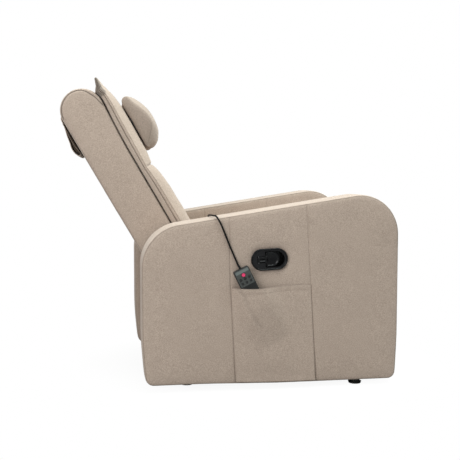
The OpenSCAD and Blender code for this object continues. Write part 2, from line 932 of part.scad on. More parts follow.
module release_pawl() {
    color(steel) slab(-layer_0 + layer_step - plate_t, plate_t) {
        difference() {
            union() {
                translate([pawl_x, pawl_z]) circle(r = 9);
                polygon([
                    [pawl_x - 4, pawl_z], [pawl_x + 8, pawl_z], [main_x - 23, main_z - 14],
                    [main_x - 23, main_z + 8], [main_x - 33, main_z + 8], [main_x - 33, pawl_z + 17]
                ]);
                translate([pawl_x - 37, pawl_z - 5]) square([37, 10]);
            }
            translate([pawl_x, pawl_z]) circle(r = pin_r + running_gap);
            translate([main_x, main_z]) circle(r = 24.6);
        }
        translate([main_x - 27, main_z - 3]) square([2.6, 6]);
    }
}

// Return spring of the pawl: three turns of wire round its pin
module pawl_spring() {
    color(zinc) for (i = [0:2]) translate([pawl_x, -plate_face - 1.3 - 2.2 * i, pawl_z])
        rotate([90, 0, 0]) rotate_extrude() translate([6.2, 0]) circle(r = 1.05, $fn = 16);
}

base_frame();
feet();
base_bolts();
side_plates();
base_pins();
arm_frame_right();
arm_frame_left();
arm_cover_right();
arm_cover_left();
side_pocket();
handle_bezel();
handle_pin();
release_cable();
seat_frame();
seat_springs();
seat_cushion();
seat_motors();
control_box();
power_inlet();
remote_cord();
rear_panel();
dust_cover();
pull_handle();
release_pawl();
pawl_spring();
seat_weight_left();
seat_weight_right();
remote_case();
remote_window();
power_button();
key(0);  // mode_key
key(1);  // level_key
key(2);  // heat_key
key(3);  // back_key
key(4);  // lumbar_key
key(5);  // thigh_key
back_frame();
back_springs();
back_box();
back_pad();
back_brackets();
back_motors();
shoulder_weight_left();
shoulder_weight_right();
lumbar_weight_left();
lumbar_weight_right();
pillow_strap();
strap_buckle();
head_pillow();
main_links();
main_link_pins();
torque_tube();
outer_links();
outer_link_pins();
rear_links();
drive_links();
footrest_brackets();
footrest_board();
footrest_pad();
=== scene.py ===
import json
import math

import bmesh
import bpy
import numpy as np
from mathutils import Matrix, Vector, noise
from mathutils.geometry import delaunay_2d_cdt


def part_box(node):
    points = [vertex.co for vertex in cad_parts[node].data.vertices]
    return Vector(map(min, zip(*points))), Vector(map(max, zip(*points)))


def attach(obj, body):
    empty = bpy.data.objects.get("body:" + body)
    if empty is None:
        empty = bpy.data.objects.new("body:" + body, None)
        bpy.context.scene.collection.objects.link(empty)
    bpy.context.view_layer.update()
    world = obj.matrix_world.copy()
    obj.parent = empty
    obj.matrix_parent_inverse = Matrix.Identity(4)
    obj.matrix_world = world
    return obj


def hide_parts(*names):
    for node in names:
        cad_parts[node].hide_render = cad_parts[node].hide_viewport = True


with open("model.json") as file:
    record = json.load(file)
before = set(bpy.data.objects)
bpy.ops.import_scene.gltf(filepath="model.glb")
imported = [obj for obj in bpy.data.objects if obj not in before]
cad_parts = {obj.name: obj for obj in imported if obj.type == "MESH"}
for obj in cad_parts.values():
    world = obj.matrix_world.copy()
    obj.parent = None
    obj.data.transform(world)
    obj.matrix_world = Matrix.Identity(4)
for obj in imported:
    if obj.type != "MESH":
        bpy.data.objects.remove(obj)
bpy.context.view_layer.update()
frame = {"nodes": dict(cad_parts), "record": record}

# Shapes are in millimetres in the part's own frame, +X forwards, +Y left, +Z up. Modifiers, bump
# distances, the stage, the lights and the camera are in metres, as Blender has them.
scene = bpy.context.scene


half_gap = 240.0  # half the width between the arms
arm_outer = 393.0  # sewn edge of an arm's outer panel, from the middle plane
arm_inner = 257.0
remote_tilt = math.radians(26)
remote_top = (-110.8, 394.3)  # middle of the remote control's top edge, as x and z
stitch_face = 399.6  # how far out the thread lies on an arm's outer panel


def cad(node):
    """A CAD node's box, as its lowest and highest corner in millimetres."""
    lo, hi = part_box(node)
    return [1000 * v for v in lo], [1000 * v for v in hi]


# ---------------------------------------------------------------- numbers and noise

def clamp(x, a=0.0, b=1.0):
    return a if x < a else b if x > b else x


def ease(a, b, x):
    t = clamp((x - a) / (b - a))
    return t * t * (3 - 2 * t)


def wob(x, y, z, size, seed=0.0):
    """Smooth noise in -1..1 with features of about the given size."""
    return noise.noise(Vector((x / size + seed, y / size + 3.7 * seed, z / size - seed)))


def folds(x, y, z, size, seed=0.0):
    return wob(x, y, z, size, seed) + 0.5 * wob(x, y, z, size / 2.1, seed + 5) + \
        0.25 * wob(x, y, z, size / 4.3, seed + 9)


def arc(cx, cz, r, a0, a1, n):
    return [(cx + r * math.cos(math.radians(a0 + (a1 - a0) * i / n)),
             cz + r * math.sin(math.radians(a0 + (a1 - a0) * i / n))) for i in range(n + 1)]


def resample(points, step, closed=True):
    p = np.array(points, float)
    if closed:
        p = np.vstack([p, p[:1]])
    seg = np.linalg.norm(np.diff(p, axis=0), axis=1)
    keep = np.concatenate([[True], seg > 1e-9])
    p = p[keep]
    s = np.concatenate([[0], np.cumsum(np.linalg.norm(np.diff(p, axis=0), axis=1))])
    n = max(8, int(round(s[-1] / step)))
    t = np.linspace(0, s[-1], n + 1)
    if closed:
        t = t[:-1]
    return np.stack([np.interp(t, s, p[:, k]) for k in range(p.shape[1])], 1)


def normals_of(ring):
    t = np.roll(ring, -1, 0) - np.roll(ring, 1, 0)
    t /= np.linalg.norm(t, axis=1)[:, None]
    return np.stack([t[:, 1], -t[:, 0]], 1)


def dist(P, line, closed=True):
    A = np.array(line, float)
    B = np.roll(A, -1, 0)
    if not closed:
        A, B = A[:-1], B[:-1]
    P = np.atleast_2d(np.array(P, float))
    out = np.full(len(P), 1e9)
    for a, b in zip(A, B):
        ab = b - a
        t = np.clip(((P - a) @ ab) / max(ab @ ab, 1e-12), 0, 1)
        out = np.minimum(out, np.hypot(*(P - a - t[:, None] * ab).T))
    return out


def inside(P, ring):
    P = np.atleast_2d(P)
    A = ring
    B = np.roll(ring, -1, 0)
    r = np.zeros(len(P), bool)
    for (ax, az), (bx, bz) in zip(A, B):
        c = (az > P[:, 1]) != (bz > P[:, 1])
        x = (bx - ax) * (P[:, 1] - az) / (bz - az + 1e-12) + ax
        r ^= c & (P[:, 0] < x)
    return r


# ---------------------------------------------------------------- materials

def material(name):
    m = bpy.data.materials.new(name)
    m.use_nodes = True
    nt = m.node_tree
    return m, nt, nt.nodes["Principled BSDF"]


def node_of(nt, kind, **props):
    n = nt.nodes.new(kind)
    for k, v in props.items():
        if k in n.inputs:
            n.inputs[k].default_value = v
        else:
            setattr(n, k, v)
    return n


def ramp_of(nt, source, stops):
    r = nt.nodes.new("ShaderNodeValToRGB")
    e = r.color_ramp.elements
    while len(e) > len(stops):
        e.remove(e[-1])
    while len(e) < len(stops):
        e.new(0.5)
    for el, (pos, col) in zip(e, stops):
        el.position = pos
        el.color = (*col, 1)
    nt.links.new(source, r.inputs["Fac"])
    return r.outputs["Color"]


def mix_of(nt, kind, fac, a, b):
    m = nt.nodes.new("ShaderNodeMix")
    m.data_type = "RGBA"
    m.blend_type = kind
    for i, v in ((0, fac), (6, a), (7, b)):
        if hasattr(v, "links"):
            nt.links.new(v, m.inputs[i])
        else:
            m.inputs[i].default_value = v if i == 0 else (*v, 1)
    return m.outputs[2]


def math_of(nt, op, a, b=0.0):
    m = nt.nodes.new("ShaderNodeMath")
    m.operation = op
    for i, v in enumerate((a, b)):
        if hasattr(v, "links"):
            nt.links.new(v, m.inputs[i])
        else:
            m.inputs[i].default_value = v
    return m.outputs[0]


def object_coords(nt, *nodes):
    co = nt.nodes.new("ShaderNodeTexCoord").outputs["Object"]
    for n in nodes:
        nt.links.new(co, n.inputs["Vector"])
    return co


def worn_edges(nt, start, end, amount):
    edge = nt.nodes.new("ShaderNodeNewGeometry").outputs["Pointiness"]
    return math_of(nt, "MULTIPLY", ramp_of(nt, edge, [(start, (0, 0, 0)), (end, (1, 1, 1))]), amount)


def bump(nt, bsdf, height, strength, distance):
    b = node_of(nt, "ShaderNodeBump", Strength=strength, Distance=distance)
    nt.links.new(height, b.inputs["Height"])
    nt.links.new(b.outputs["Normal"], bsdf.inputs["Normal"])


def fabric(name, base, flecks=0.16, sheen=0.25, weave=0.5, seam_dark=0.55):
    """Short-pile upholstery: a melange of lighter and darker yarn, a fine weave under it, brushed patches,
    painted shade in seams, creases and shaded hollows from a per-vertex attribute of the mesh, and a soft
    sheen at grazing angles."""
    m, nt, bsdf = material(name)
    L = nt.links
    co = nt.nodes.new("ShaderNodeTexCoord").outputs["Object"]
    yarn = node_of(nt, "ShaderNodeTexNoise", Scale=430.0, Detail=3.0, Roughness=0.65)
    fibre = node_of(nt, "ShaderNodeTexNoise", Scale=1500.0, Detail=2.0, Roughness=0.6)
    brush = node_of(nt, "ShaderNodeTexNoise", Scale=7.0, Detail=4.0, Roughness=0.55, Distortion=0.6)
    patch = node_of(nt, "ShaderNodeTexNoise", Scale=38.0, Detail=3.0, Roughness=0.6)
    speck = node_of(nt, "ShaderNodeTexNoise", Scale=260.0, Detail=2.0, Roughness=0.5)
    for n in (yarn, fibre, brush, patch, speck):
        L.new(co, n.inputs["Vector"])
    dark = tuple(c * (1 - 1.5 * flecks) for c in base)
    light = tuple(min(1, c * (1 + 1.1 * flecks)) for c in base)
    col = ramp_of(nt, yarn.outputs["Fac"], [(0.34, dark), (0.50, base), (0.66, light)])
    shade = ramp_of(nt, brush.outputs["Fac"], [(0.30, (0.97, 0.967, 0.964)), (0.70, (1.02, 1.018, 1.016))])
    col = mix_of(nt, "MULTIPLY", 1.0, col, shade)
    shade = ramp_of(nt, patch.outputs["Fac"], [(0.32, (0.975, 0.972, 0.97)), (0.68, (1.02, 1.02, 1.02))])
    col = mix_of(nt, "MULTIPLY", 1.0, col, shade)
    shade = ramp_of(nt, speck.outputs["Fac"], [(0.36, (0.935, 0.93, 0.925)), (0.64, (1.055, 1.055, 1.055))])
    col = mix_of(nt, "MULTIPLY", 1.0, col, shade)
    # painted shade: the mesh's per-vertex shade value pulls the colour towards a dark brown in seams,
    # creases, folds and shaded hollows
    attr = nt.nodes.new("ShaderNodeAttribute")
    attr.attribute_name = "seam"
    fac = math_of(nt, "MULTIPLY", attr.outputs["Fac"], seam_dark)
    col = mix_of(nt, "MIX", fac, col, tuple(c * 0.30 for c in base))
    worn = worn_edges(nt, 0.51, 0.58, 0.18)
    col = mix_of(nt, "MIX", worn, col, tuple(min(1, c * 1.25) for c in base))
    L.new(col, bsdf.inputs["Base Color"])
    bsdf.inputs["Roughness"].default_value = 0.93
    bsdf.inputs["Specular IOR Level"].default_value = 0.18
    bsdf.inputs["Sheen Weight"].default_value = sheen
    bsdf.inputs["Sheen Roughness"].default_value = 0.45
    bsdf.inputs["Sheen Tint"].default_value = (1.0, 0.95, 0.90, 1)
    warp = node_of(nt, "ShaderNodeTexWave", Scale=230.0, Distortion=1.6, Detail=1.0)
    warp.bands_direction = "X"
    weft = node_of(nt, "ShaderNodeTexWave", Scale=230.0, Distortion=1.6, Detail=1.0)
    weft.bands_direction = "Z"
    for n in (warp, weft):
        L.new(co, n.inputs["Vector"])
    h = math_of(nt, "ADD", math_of(nt, "MULTIPLY", warp.outputs["Fac"], 0.35),
                math_of(nt, "MULTIPLY", weft.outputs["Fac"], 0.35))
    h = math_of(nt, "ADD", h, math_of(nt, "MULTIPLY", yarn.outputs["Fac"], 1.6))
    h = math_of(nt, "ADD", h, math_of(nt, "MULTIPLY", fibre.outputs["Fac"], 0.5))
    bump(nt, bsdf, h, weave, 0.0006)
    return m


def plastic(name, base, rough, grain=0.0, scale=900.0, coat=0.0, spec=0.4):
    """Moulded plastic: fine grain, faint scuffs in the gloss and edges worn a little lighter."""
    m, nt, bsdf = material(name)
    L = nt.links
    fine = node_of(nt, "ShaderNodeTexNoise", Scale=scale, Detail=3.0, Roughness=0.6)
    scuff = node_of(nt, "ShaderNodeTexNoise", Scale=60.0, Detail=6.0, Roughness=0.7, Distortion=1.2)
    object_coords(nt, fine, scuff)
    worn = worn_edges(nt, 0.52, 0.62, 0.35)
    col = ramp_of(nt, fine.outputs["Fac"],
                  [(0.3, tuple(c * 0.85 for c in base)), (0.7, tuple(c * 1.12 for c in base))])
    col = mix_of(nt, "MIX", worn, col, tuple(min(1, c * 1.8 + 0.02) for c in base))
    L.new(col, bsdf.inputs["Base Color"])
    r = ramp_of(nt, scuff.outputs["Fac"], [(0.35, (rough * 0.8,) * 3), (0.7, (min(1, rough * 1.35),) * 3)])
    L.new(r, bsdf.inputs["Roughness"])
    bsdf.inputs["Coat Weight"].default_value = coat
    bsdf.inputs["Specular IOR Level"].default_value = spec
    bsdf.inputs["Coat Roughness"].default_value = 0.08
    bump(nt, bsdf, fine.outputs["Fac"], grain, 0.0002)
    return m


def metal(name, base, rough, paint=False, streak=(400.0, 400.0, 25.0)):
    """Bare metal with drawn or brushed streaks, or satin paint with an orange-peel surface and worn edges."""
    m, nt, bsdf = material(name)
    L = nt.links
    co = nt.nodes.new("ShaderNodeTexCoord").outputs["Object"]
    mp = nt.nodes.new("ShaderNodeMapping")
    mp.inputs["Scale"].default_value = streak
    L.new(co, mp.inputs["Vector"])
    fine = node_of(nt, "ShaderNodeTexNoise", Scale=1.0 if not paint else 2.0, Detail=4.0, Roughness=0.6)
    L.new(mp.outputs["Vector"], fine.inputs["Vector"])
    spot = node_of(nt, "ShaderNodeTexNoise", Scale=45.0, Detail=5.0, Roughness=0.65)
    L.new(co, spot.inputs["Vector"])
    worn = worn_edges(nt, 0.53, 0.62, 0.6)
    col = ramp_of(nt, spot.outputs["Fac"],
                  [(0.3, tuple(c * 0.82 for c in base)), (0.7, tuple(min(1, c * 1.1) for c in base))])
    col = mix_of(nt, "MIX", worn, col, (0.42, 0.42, 0.43))
    L.new(col, bsdf.inputs["Base Color"])
    bsdf.inputs["Metallic"].default_value = 0.15 if paint else 1.0
    r = ramp_of(nt, fine.outputs["Fac"], [(0.3, (rough * 0.8,) * 3), (0.7, (min(1, rough * 1.3),) * 3)])
    L.new(r, bsdf.inputs["Roughness"])
    bump(nt, bsdf, fine.outputs["Fac"], 0.15, 0.0002)
    return m


def wood(name):
    """Planed softwood: growth rings stretched along the grain, pores and a matte surface."""
    m, nt, bsdf = material(name)
    L = nt.links
    co = nt.nodes.new("ShaderNodeTexCoord").outputs["Object"]
    mp = nt.nodes.new("ShaderNodeMapping")
    mp.inputs["Scale"].default_value = (3.0, 22.0, 22.0)
    L.new(co, mp.inputs["Vector"])
    grain = node_of(nt, "ShaderNodeTexWave", Scale=1.6, Distortion=9.0, Detail=4.0)
    grain.wave_type = "RINGS"
    pore = node_of(nt, "ShaderNodeTexNoise", Scale=14.0, Detail=6.0, Roughness=0.7)
    for n in (grain, pore):
        L.new(mp.outputs["Vector"], n.inputs["Vector"])
    col = ramp_of(nt, grain.outputs["Fac"],
                  [(0.0, (0.50, 0.33, 0.17)), (0.55, (0.62, 0.44, 0.25)), (1.0, (0.70, 0.52, 0.31))])
    shade = ramp_of(nt, pore.outputs["Fac"], [(0.35, (0.80, 0.78, 0.76)), (0.6, (1, 1, 1))])
    L.new(mix_of(nt, "MULTIPLY", 1.0, col, shade), bsdf.inputs["Base Color"])
    bsdf.inputs["Roughness"].default_value = 0.62
    bump(nt, bsdf, pore.outputs["Fac"], 0.25, 0.0005)
    return m


cloth = fabric("fabric", (0.405, 0.325, 0.268))
thread = plastic("thread", (0.30, 0.235, 0.19), 0.75, 0.5, 3000.0)
mats = {
    "fabric": cloth,
    "cover_cloth": fabric("cover_cloth", (0.022, 0.022, 0.024), 0.3, 0.1, 0.5),
    "steel": metal("steel", (0.035, 0.036, 0.038), 0.42, True),
    "zinc": metal("zinc", (0.58, 0.585, 0.60), 0.34),
    "spring_steel": metal("spring_steel", (0.33, 0.34, 0.36), 0.38),
    "motor_steel": metal("motor_steel", (0.50, 0.505, 0.51), 0.36),
    "black_gloss": plastic("black_gloss", (0.0035, 0.0035, 0.0042), 0.27, 0.05, 1200.0, 0.05, 0.2),
    "black_matte": plastic("black_matte", (0.011, 0.0115, 0.011), 0.5, 0.5, 1500.0, 0.0, 0.25),
    "cord": plastic("cord", (0.003, 0.003, 0.003), 0.5, 0.2, 1500.0, 0.0, 0.12),
    "red_plastic": plastic("red_plastic", (0.62, 0.035, 0.12), 0.35, 0.1),
    "key_grey": plastic("key_grey", (0.008, 0.008, 0.008), 0.5, 0.3),
    "window_grey": plastic("window_grey", (0.10, 0.115, 0.11), 0.35, 0.1),
    # painted shade: a near-black brown cloth that stands in for the shade inside the strap's weighted loop
    "shade_fill": fabric("shade_fill", (0.050, 0.036, 0.025), 0.25, 0.1, 0.5),
    "membrane": plastic("membrane", (0.055, 0.060, 0.056), 0.55, 0.4, 1800.0, 0.0, 0.3),
    "timber": wood("timber"),
}

# ---------------------------------------------------------------- mesh helpers


def make(name, verts, faces, mat, body, seam=None, replaces=(), place=None, weld=0.02):
    if place:
        verts = [place(*v) for v in verts]
    me = bpy.data.meshes.new(name)
    me.from_pydata([(v[0] / 1000, v[1] / 1000, v[2] / 1000) for v in verts], [], faces)
    # per-vertex painted shade values, which the fabric material turns into darker colour
    if seam is not None:
        a = me.attributes.new("seam", "FLOAT", "POINT")
        a.data.foreach_set("value", [float(s) for s in seam])
    bm = bmesh.new()
    bm.from_mesh(me)
    bmesh.ops.remove_doubles(bm, verts=bm.verts, dist=weld / 1000)
    bmesh.ops.recalc_face_normals(bm, faces=bm.faces)
    bm.to_mesh(me)
    bm.free()
    me.polygons.foreach_set("use_smooth", [True] * len(me.polygons))
    me.materials.append(mat)
    o = bpy.data.objects.new(name, me)
    scene.collection.objects.link(o)
    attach(o, body)
    if replaces:
        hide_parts(*replaces)
    return o


def triangulate(ring, seams=(), hole=None, step=13.0, insets=(0.8, 2.0, 3.8, 6.5, 11.0, 18.0), along=7.0):
    """Points and triangles that fill a ring, finest along its edge, its seams and round its hole."""
    pts, cells, edges = [], {}, []

    def add(p, gap):
        cx, cz = int(p[0] // 8), int(p[1] // 8)
        if gap > 0:
            for i in (-1, 0, 1):
                for j in (-1, 0, 1):
                    for q in cells.get((cx + i, cz + j), ()):
                        if (pts[q][0] - p[0]) ** 2 + (pts[q][1] - p[1]) ** 2 < gap * gap:
                            return None
        cells.setdefault((cx, cz), []).append(len(pts))
        pts.append((float(p[0]), float(p[1])))
        return len(pts) - 1

    def close(loop):
        first = len(pts)
        for p in loop:
            add(p, 0)
        n = len(loop)
        edges.extend((first + i, first + (i + 1) % n) for i in range(n))

    close(ring)
    if hole is not None:
        close(hole)
    nr = normals_of(ring)
    for d in insets:
        cand = ring - nr * d
        ok = (dist(cand, ring) > 0.97 * d) & inside(cand, ring)
        for p, good in zip(cand, ok):
            if good:
                add(p, 0.55)
    if hole is not None:
        nh = normals_of(hole)
        for d in (1.5, 4.0, 8.0, 13.0, 19.0, 27.0):
            for p in hole + nh * d:
                add(p, 1.2)
    for line in seams:
        c = resample(line, along, False)
        t = np.gradient(c, axis=0)
        t /= np.linalg.norm(t, axis=1)[:, None]
        n = np.stack([-t[:, 1], t[:, 0]], 1)
        for off in (0, 1.1, -1.1, 2.4, -2.4, 4.6, -4.6, 8.5, -8.5):
            cand = c + n * off
            ok = inside(cand, ring) & (dist(cand, ring) > 0.9)
            last = None
            for p, good in zip(cand, ok):
                k = add(p, 0.6) if good else None
                if off == 0 and k is not None and last is not None:
                    edges.append((last, k))
                last = k
    lo, hi = ring.min(0), ring.max(0)
    gx, gz = np.meshgrid(np.arange(lo[0] + 5, hi[0], step), np.arange(lo[1] + 5, hi[1], step))
    gx[::2] += step / 2
    P = np.stack([gx.ravel(), gz.ravel()], 1)
    ok = inside(P, ring) & (dist(P, ring) > 9)
    if hole is not None:
        ok &= ~inside(P, hole)
    for p in P[ok]:
        add(p, 0.52 * step)
    v, _, f, _, _, _ = delaunay_2d_cdt([Vector(p) for p in pts], edges, [], 1, 1e-5)
    P = np.array([(q.x, q.y) for q in v])
    F = [tuple(t) for t in f]
    if hole is not None:
        mid = np.array([P[list(t)].mean(0) for t in F])
        inner = inside(mid, hole)
        F = [t for t, bad in zip(F, inner) if not bad]
    return P, F


def widths(total, fine=(0.7, 1.6, 3.0, 5.0, 8.0, 13.0, 20.0), step=22.0):
    half = total / 2
    w = [0.0] + [f for f in fine if f < half - 2]
    n = max(1, int(round((half - w[-1]) / step)))
    w += [w[-1] + (half - w[-1]) * (i + 1) / n for i in range(n)]
    return w[:-1] + [half] + [total - x for x in reversed(w[:-1])]


def slab(name, ring, y0, y1, panel, band, mat=cloth, body="base", seams=((), ()),
         holes=(None, None), place=None, replaces=(), step=13.0,
         insets=(0.8, 2.0, 3.8, 6.5, 11.0, 18.0), wide=22.0):
    """An upholstered block: two side panels sewn to a boxing band that runs right round the ring.
    panel(P, d, side) and band(i, w, y) give how far each point stands out from the sewn edge,
    and its painted shade value, which darkens the fabric's colour where shade falls in seams and creases."""
    verts, faces, seam = [], [], []
    for side, y in ((0, y0), (1, y1)):
        P, F = triangulate(ring, seams[side], holes[side], step, insets)
        d = dist(P, ring)
        out = -1 if side == 0 else 1
        base = len(verts)
        off, sv = panel(P, d, side)
        verts += [(p[0], y + out * o, p[1]) for p, o in zip(P, off)]
        seam += list(sv)
        faces += [tuple(base + k for k in t) for t in F]
    nr = normals_of(ring)
    ws = widths(y1 - y0, step=wide)
    base = len(verts)
    M, K = len(ring), len(ws)
    for i in range(M):
        for w in ws:
            near = min(w, y1 - y0 - w)
            o, sv = band(i, near, y0 + w)
            verts.append((ring[i][0] + nr[i][0] * o, y0 + w, ring[i][1] + nr[i][1] * o))
            seam.append(sv)
    for i in range(M):
        for k in range(K - 1):
            a, b = base + i * K + k, base + ((i + 1) % M) * K + k
            faces.append((a, b, b + 1, a + 1))
    return make(name, verts, faces, mat, body, seam, replaces, place)


def stitches(name, path, mat=thread, body="base", pitch=6.0, length=3.9, r=0.42, place=None):
    """A row of thread: one small rounded stitch after another along a path of points."""
    p = resample(path, pitch, False)
    verts, faces = [], []
    for a, b in zip(p[:-1], p[1:]):
        t = (b - a) / max(np.linalg.norm(b - a), 1e-9)
        up = np.array([0, 0, 1.0]) if abs(t[2]) < 0.9 else np.array([1.0, 0, 0])
        s1 = np.cross(t, up)
        s1 /= np.linalg.norm(s1)
        s2 = np.cross(t, s1)
        mid = (a + b) / 2
        first = len(verts)
        for f, q in ((-0.5, 0.35), (-0.3, 1.0), (0.3, 1.0), (0.5, 0.35)):
            for k in range(6):
                an = math.pi * k / 3
                verts.append(tuple(mid + t * f * length + r * q * (math.cos(an) * s1 + math.sin(an) * s2)))
        for j in range(3):
            for k in range(6):
                faces.append((first + 6 * j + k, first + 6 * j + (k + 1) % 6,
                              first + 6 * (j + 1) + (k + 1) % 6, first + 6 * (j + 1) + k))
        faces.append(tuple(first + k for k in range(6)))
        faces.append(tuple(first + 18 + k for k in range(6)))
    return make(name, verts, faces, mat, body, None, (), place, 0.0001)


def loft(name, rings, mat, body, replaces=(), caps=(True, True), closed=True, place=None, seam=None):
    verts = [tuple(v) for r in rings for v in r]
    n = len(rings[0])
    faces = []
    for j in range(len(rings) - 1):
        for k in range(n if closed else n - 1):
            a, b = j * n + k, j * n + (k + 1) % n
            faces.append((a, b, b + n, a + n))
    if caps[0]:
        faces.append(tuple(range(n)))
    if caps[1]:
        faces.append(tuple(range((len(rings) - 1) * n, len(rings) * n)))
    return make(name, verts, faces, mat, body, seam, replaces, place)


def tube(name, path, r, mat, body, replaces=(), sides=14, taper=None):
    p = np.array(path, float)
    rings = []
    up = np.array([0.0, 0.0, 1.0])
    for i in range(len(p)):
        t = p[min(i + 1, len(p) - 1)] - p[max(i - 1, 0)]
        t /= np.linalg.norm(t)
        s1 = np.cross(t, up)
        if np.linalg.norm(s1) < 1e-3:
            s1 = np.cross(t, [1.0, 0, 0])
        s1 /= np.linalg.norm(s1)
        s2 = np.cross(s1, t)
        up = s2
        rr = r if taper is None else taper[i]
        rings.append([tuple(p[i] + rr * (math.cos(a) * s1 + math.sin(a) * s2))
                      for a in (2 * math.pi * k / sides for k in range(sides))])
    return loft(name, rings, mat, body, replaces)


def catmull(a, b, c, d, t):
    return 0.5 * (2 * b + (c - a) * t + (2 * a - 5 * b + 4 * c - d) * t * t +
                  (3 * b - a - 3 * c + d) * t ** 3)


def spline(points, n):
    """A smooth curve through points (Catmull-Rom), n steps between each pair."""
    P = [np.array(p, float) for p in points]
    P = [2 * P[0] - P[1]] + P + [2 * P[-1] - P[-2]]
    out = []
    for i in range(1, len(P) - 2):
        a, b, c, d = P[i - 1:i + 3]
        out += [catmull(a, b, c, d, k / n) for k in range(n)]
    out.append(P[-2])
    return out


def inflate(o, pinned, pressure=4.0, cap=10.0, frames=20, stiff=12.0):
    """Swells a closed padded piece with a cloth simulation, its seams held, and keeps the result."""
    g = o.vertex_groups.new(name="pin")
    for i, w in enumerate(pinned):
        if w > 0.02:
            g.add([i], min(1.0, w), "REPLACE")
    md = o.modifiers.new("cloth", "CLOTH")
    s = md.settings
    s.quality = 5
    s.mass = 0.2
    s.tension_stiffness = s.compression_stiffness = stiff
    s.shear_stiffness = 5
    s.bending_stiffness = 0.4
    s.use_pressure = True
    s.uniform_pressure_force = pressure
    s.effector_weights.gravity = 0
    s.vertex_group_mass = "pin"
    md.collision_settings.use_collision = False
    md.point_cache.frame_start = 1
    md.point_cache.frame_end = frames
    for f in range(1, frames + 1):
        scene.frame_set(f)
    ev = o.evaluated_get(bpy.context.evaluated_depsgraph_get())
    n = len(o.data.vertices)
    new = np.empty(3 * n)
    old = np.empty(3 * n)
    ev.data.vertices.foreach_get("co", new)
    o.data.vertices.foreach_get("co", old)
    o.modifiers.remove(md)
    o.vertex_groups.remove(g)
    scene.frame_set(1)
    d = (new - old).reshape(-1, 3)
    size = np.linalg.norm(d, axis=1)
    lim = cap / 1000
    d *= np.minimum(1.0, lim / np.maximum(size, 1e-9))[:, None]
    o.data.vertices.foreach_set("co", (old.reshape(-1, 3) + d).ravel())
    o.data.update()


# ---------------------------------------------------------------- arms

lo_arm, hi_arm = cad("arm_cover_right")
half_x = hi_arm[0]
arm_low = lo_arm[2]
slope = math.radians(8.8)
line = 582 * math.cos(slope)
fx, rx = half_x - 130, 140 - half_x
fz = (line - 130 + fx * math.sin(slope)) / math.cos(slope)
rz = (line - 140 + rx * math.sin(slope)) / math.cos(slope)
sl = math.degrees(slope)


def taper(x, z):
    """The arm's ends draw in a little towards the floor, the rear more than the front."""
    k = clamp((190 - z) / 170)
    return x * (1 - (0.030 if x < 0 else 0.016) * k ** 1.6)


e = 3.0
outline = (arc(half_x - 25, arm_low + 25, 25 - e, -90, 0, 10) + arc(fx, fz, 130 - e, 0, 90 + sl, 40) +
           arc(rx, rz, 140 - e, 90 + sl, 180, 40) + arc(25 - half_x, arm_low + 25, 25 - e, 180, 270, 10))
arm_ring = resample(outline, 7.0)


def hang_of(x, z):
    """How far the fabric hangs below the lower edge, which is lowest towards the front."""
    return 6.0 * ease(-270, 60, x) * ease(70, 30, z)


arm_ring = np.array([(taper(x, z), z - hang_of(x, z)) for x, z in arm_ring])
front_seam = [(108, 600), (141, 20)]
rear_seam = [(-143, 560), (-139, 335), (-122, 20)]
bz_lo, bz_hi = cad("handle_bezel")
bez = ((bz_lo[0] + bz_hi[0]) / 2, (bz_lo[2] + bz_hi[2]) / 2)
bez_tilt = math.radians(2.8)
bez_size = (119.0, 69.5)


def in_bezel(x, y, z):
    return (bez[0] + x * math.cos(bez_tilt) - z * math.sin(bez_tilt), y,
            bez[1] + x * math.sin(bez_tilt) + z * math.cos(bez_tilt))


def oval(inset, n=64):
    r = bez_size[1] / 2 - inset
    s = (bez_size[0] - bez_size[1]) / 2
    return np.array(arc(s, 0, r, -90, 90, n // 2 - 1) + arc(-s, 0, r, 90, 270, n // 2 - 1))


def seam_of(d, w=1.5):
    return math.exp(-(d / w) ** 2)


def arm(name, sign, node, hole):
    y_out, y_in = arm_outer * sign, arm_inner * sign
    y0, y1 = min(y_out, y_in), max(y_out, y_in)
    lines = [front_seam, rear_seam]

    def panel(P, d, side):
        outer = (side == 0) == (sign < 0)
        ds = np.minimum(dist(P, front_seam, False), dist(P, rear_seam, False))
        db = dist(P, hole) if hole is not None and outer else np.full(len(P), 999.0)
        off, sv = [], []
        for (x, z), a, b, c in zip(P, d, ds, db):
            o = 3.0 * (1 - math.exp(-a / 3.5)) + (4.6 if outer else 3.6) * (1 - math.exp(-a / 55))
            o -= (1.5 if outer else 1.2) * math.exp(-(b / 1.5) ** 2) + 0.7 * math.exp(-b / 8)
            o += 0.55 * folds(x, 40 * side + 90 * sign, z, 95, 1.0) * (1 - math.exp(-a / 20))
            gather = (math.exp(-b / 11) + math.exp(-a / 12)) * (1 - seam_of(min(a, b)))
            o += 0.45 * wob(x, sign * 9, z, 15, 4.0) * gather
            if c < 90:
                o -= 5.0 * math.exp(-c / 14)
                o -= 1.3 * ease(95, 20, c) * max(0, wob(x, 0, z, 26, 8.0))
            off.append(o)
            top = ease(430, 480, z)  # painted seam shade: darkest and widest round the arm's top
            # painted shade along the panel's sewn edge and its vertical seams
            sv.append(max((0.9 + 0.5 * top) * seam_of(a, 1.9 + 0.7 * top),
                          (0.34 if outer else 0.4) * seam_of(b, 1.2)))
        return off, sv

    def band(i, w, y):
        x, z = arm_ring[i]
        o = 2.6 * (1 - math.exp(-w / 3.5)) + 1.0 * (1 - math.exp(-w / 30))
        o += 0.5 * folds(x, y, z, 60, 2.0) * (1 - math.exp(-w / 15))
        o += 0.3 * wob(x, y, z, 14, 6.0) * math.exp(-w / 9) * (1 - seam_of(w))
        # painted shade along the band's sewn edges
        return o, 0.85 * seam_of(w, 1.3)

    outer_side = 0 if sign < 0 else 1
    holes = [None, None]
    holes[outer_side] = hole
    return slab(name, arm_ring, y0, y1, panel, band, seams=(lines, lines), holes=holes, replaces=(node,))


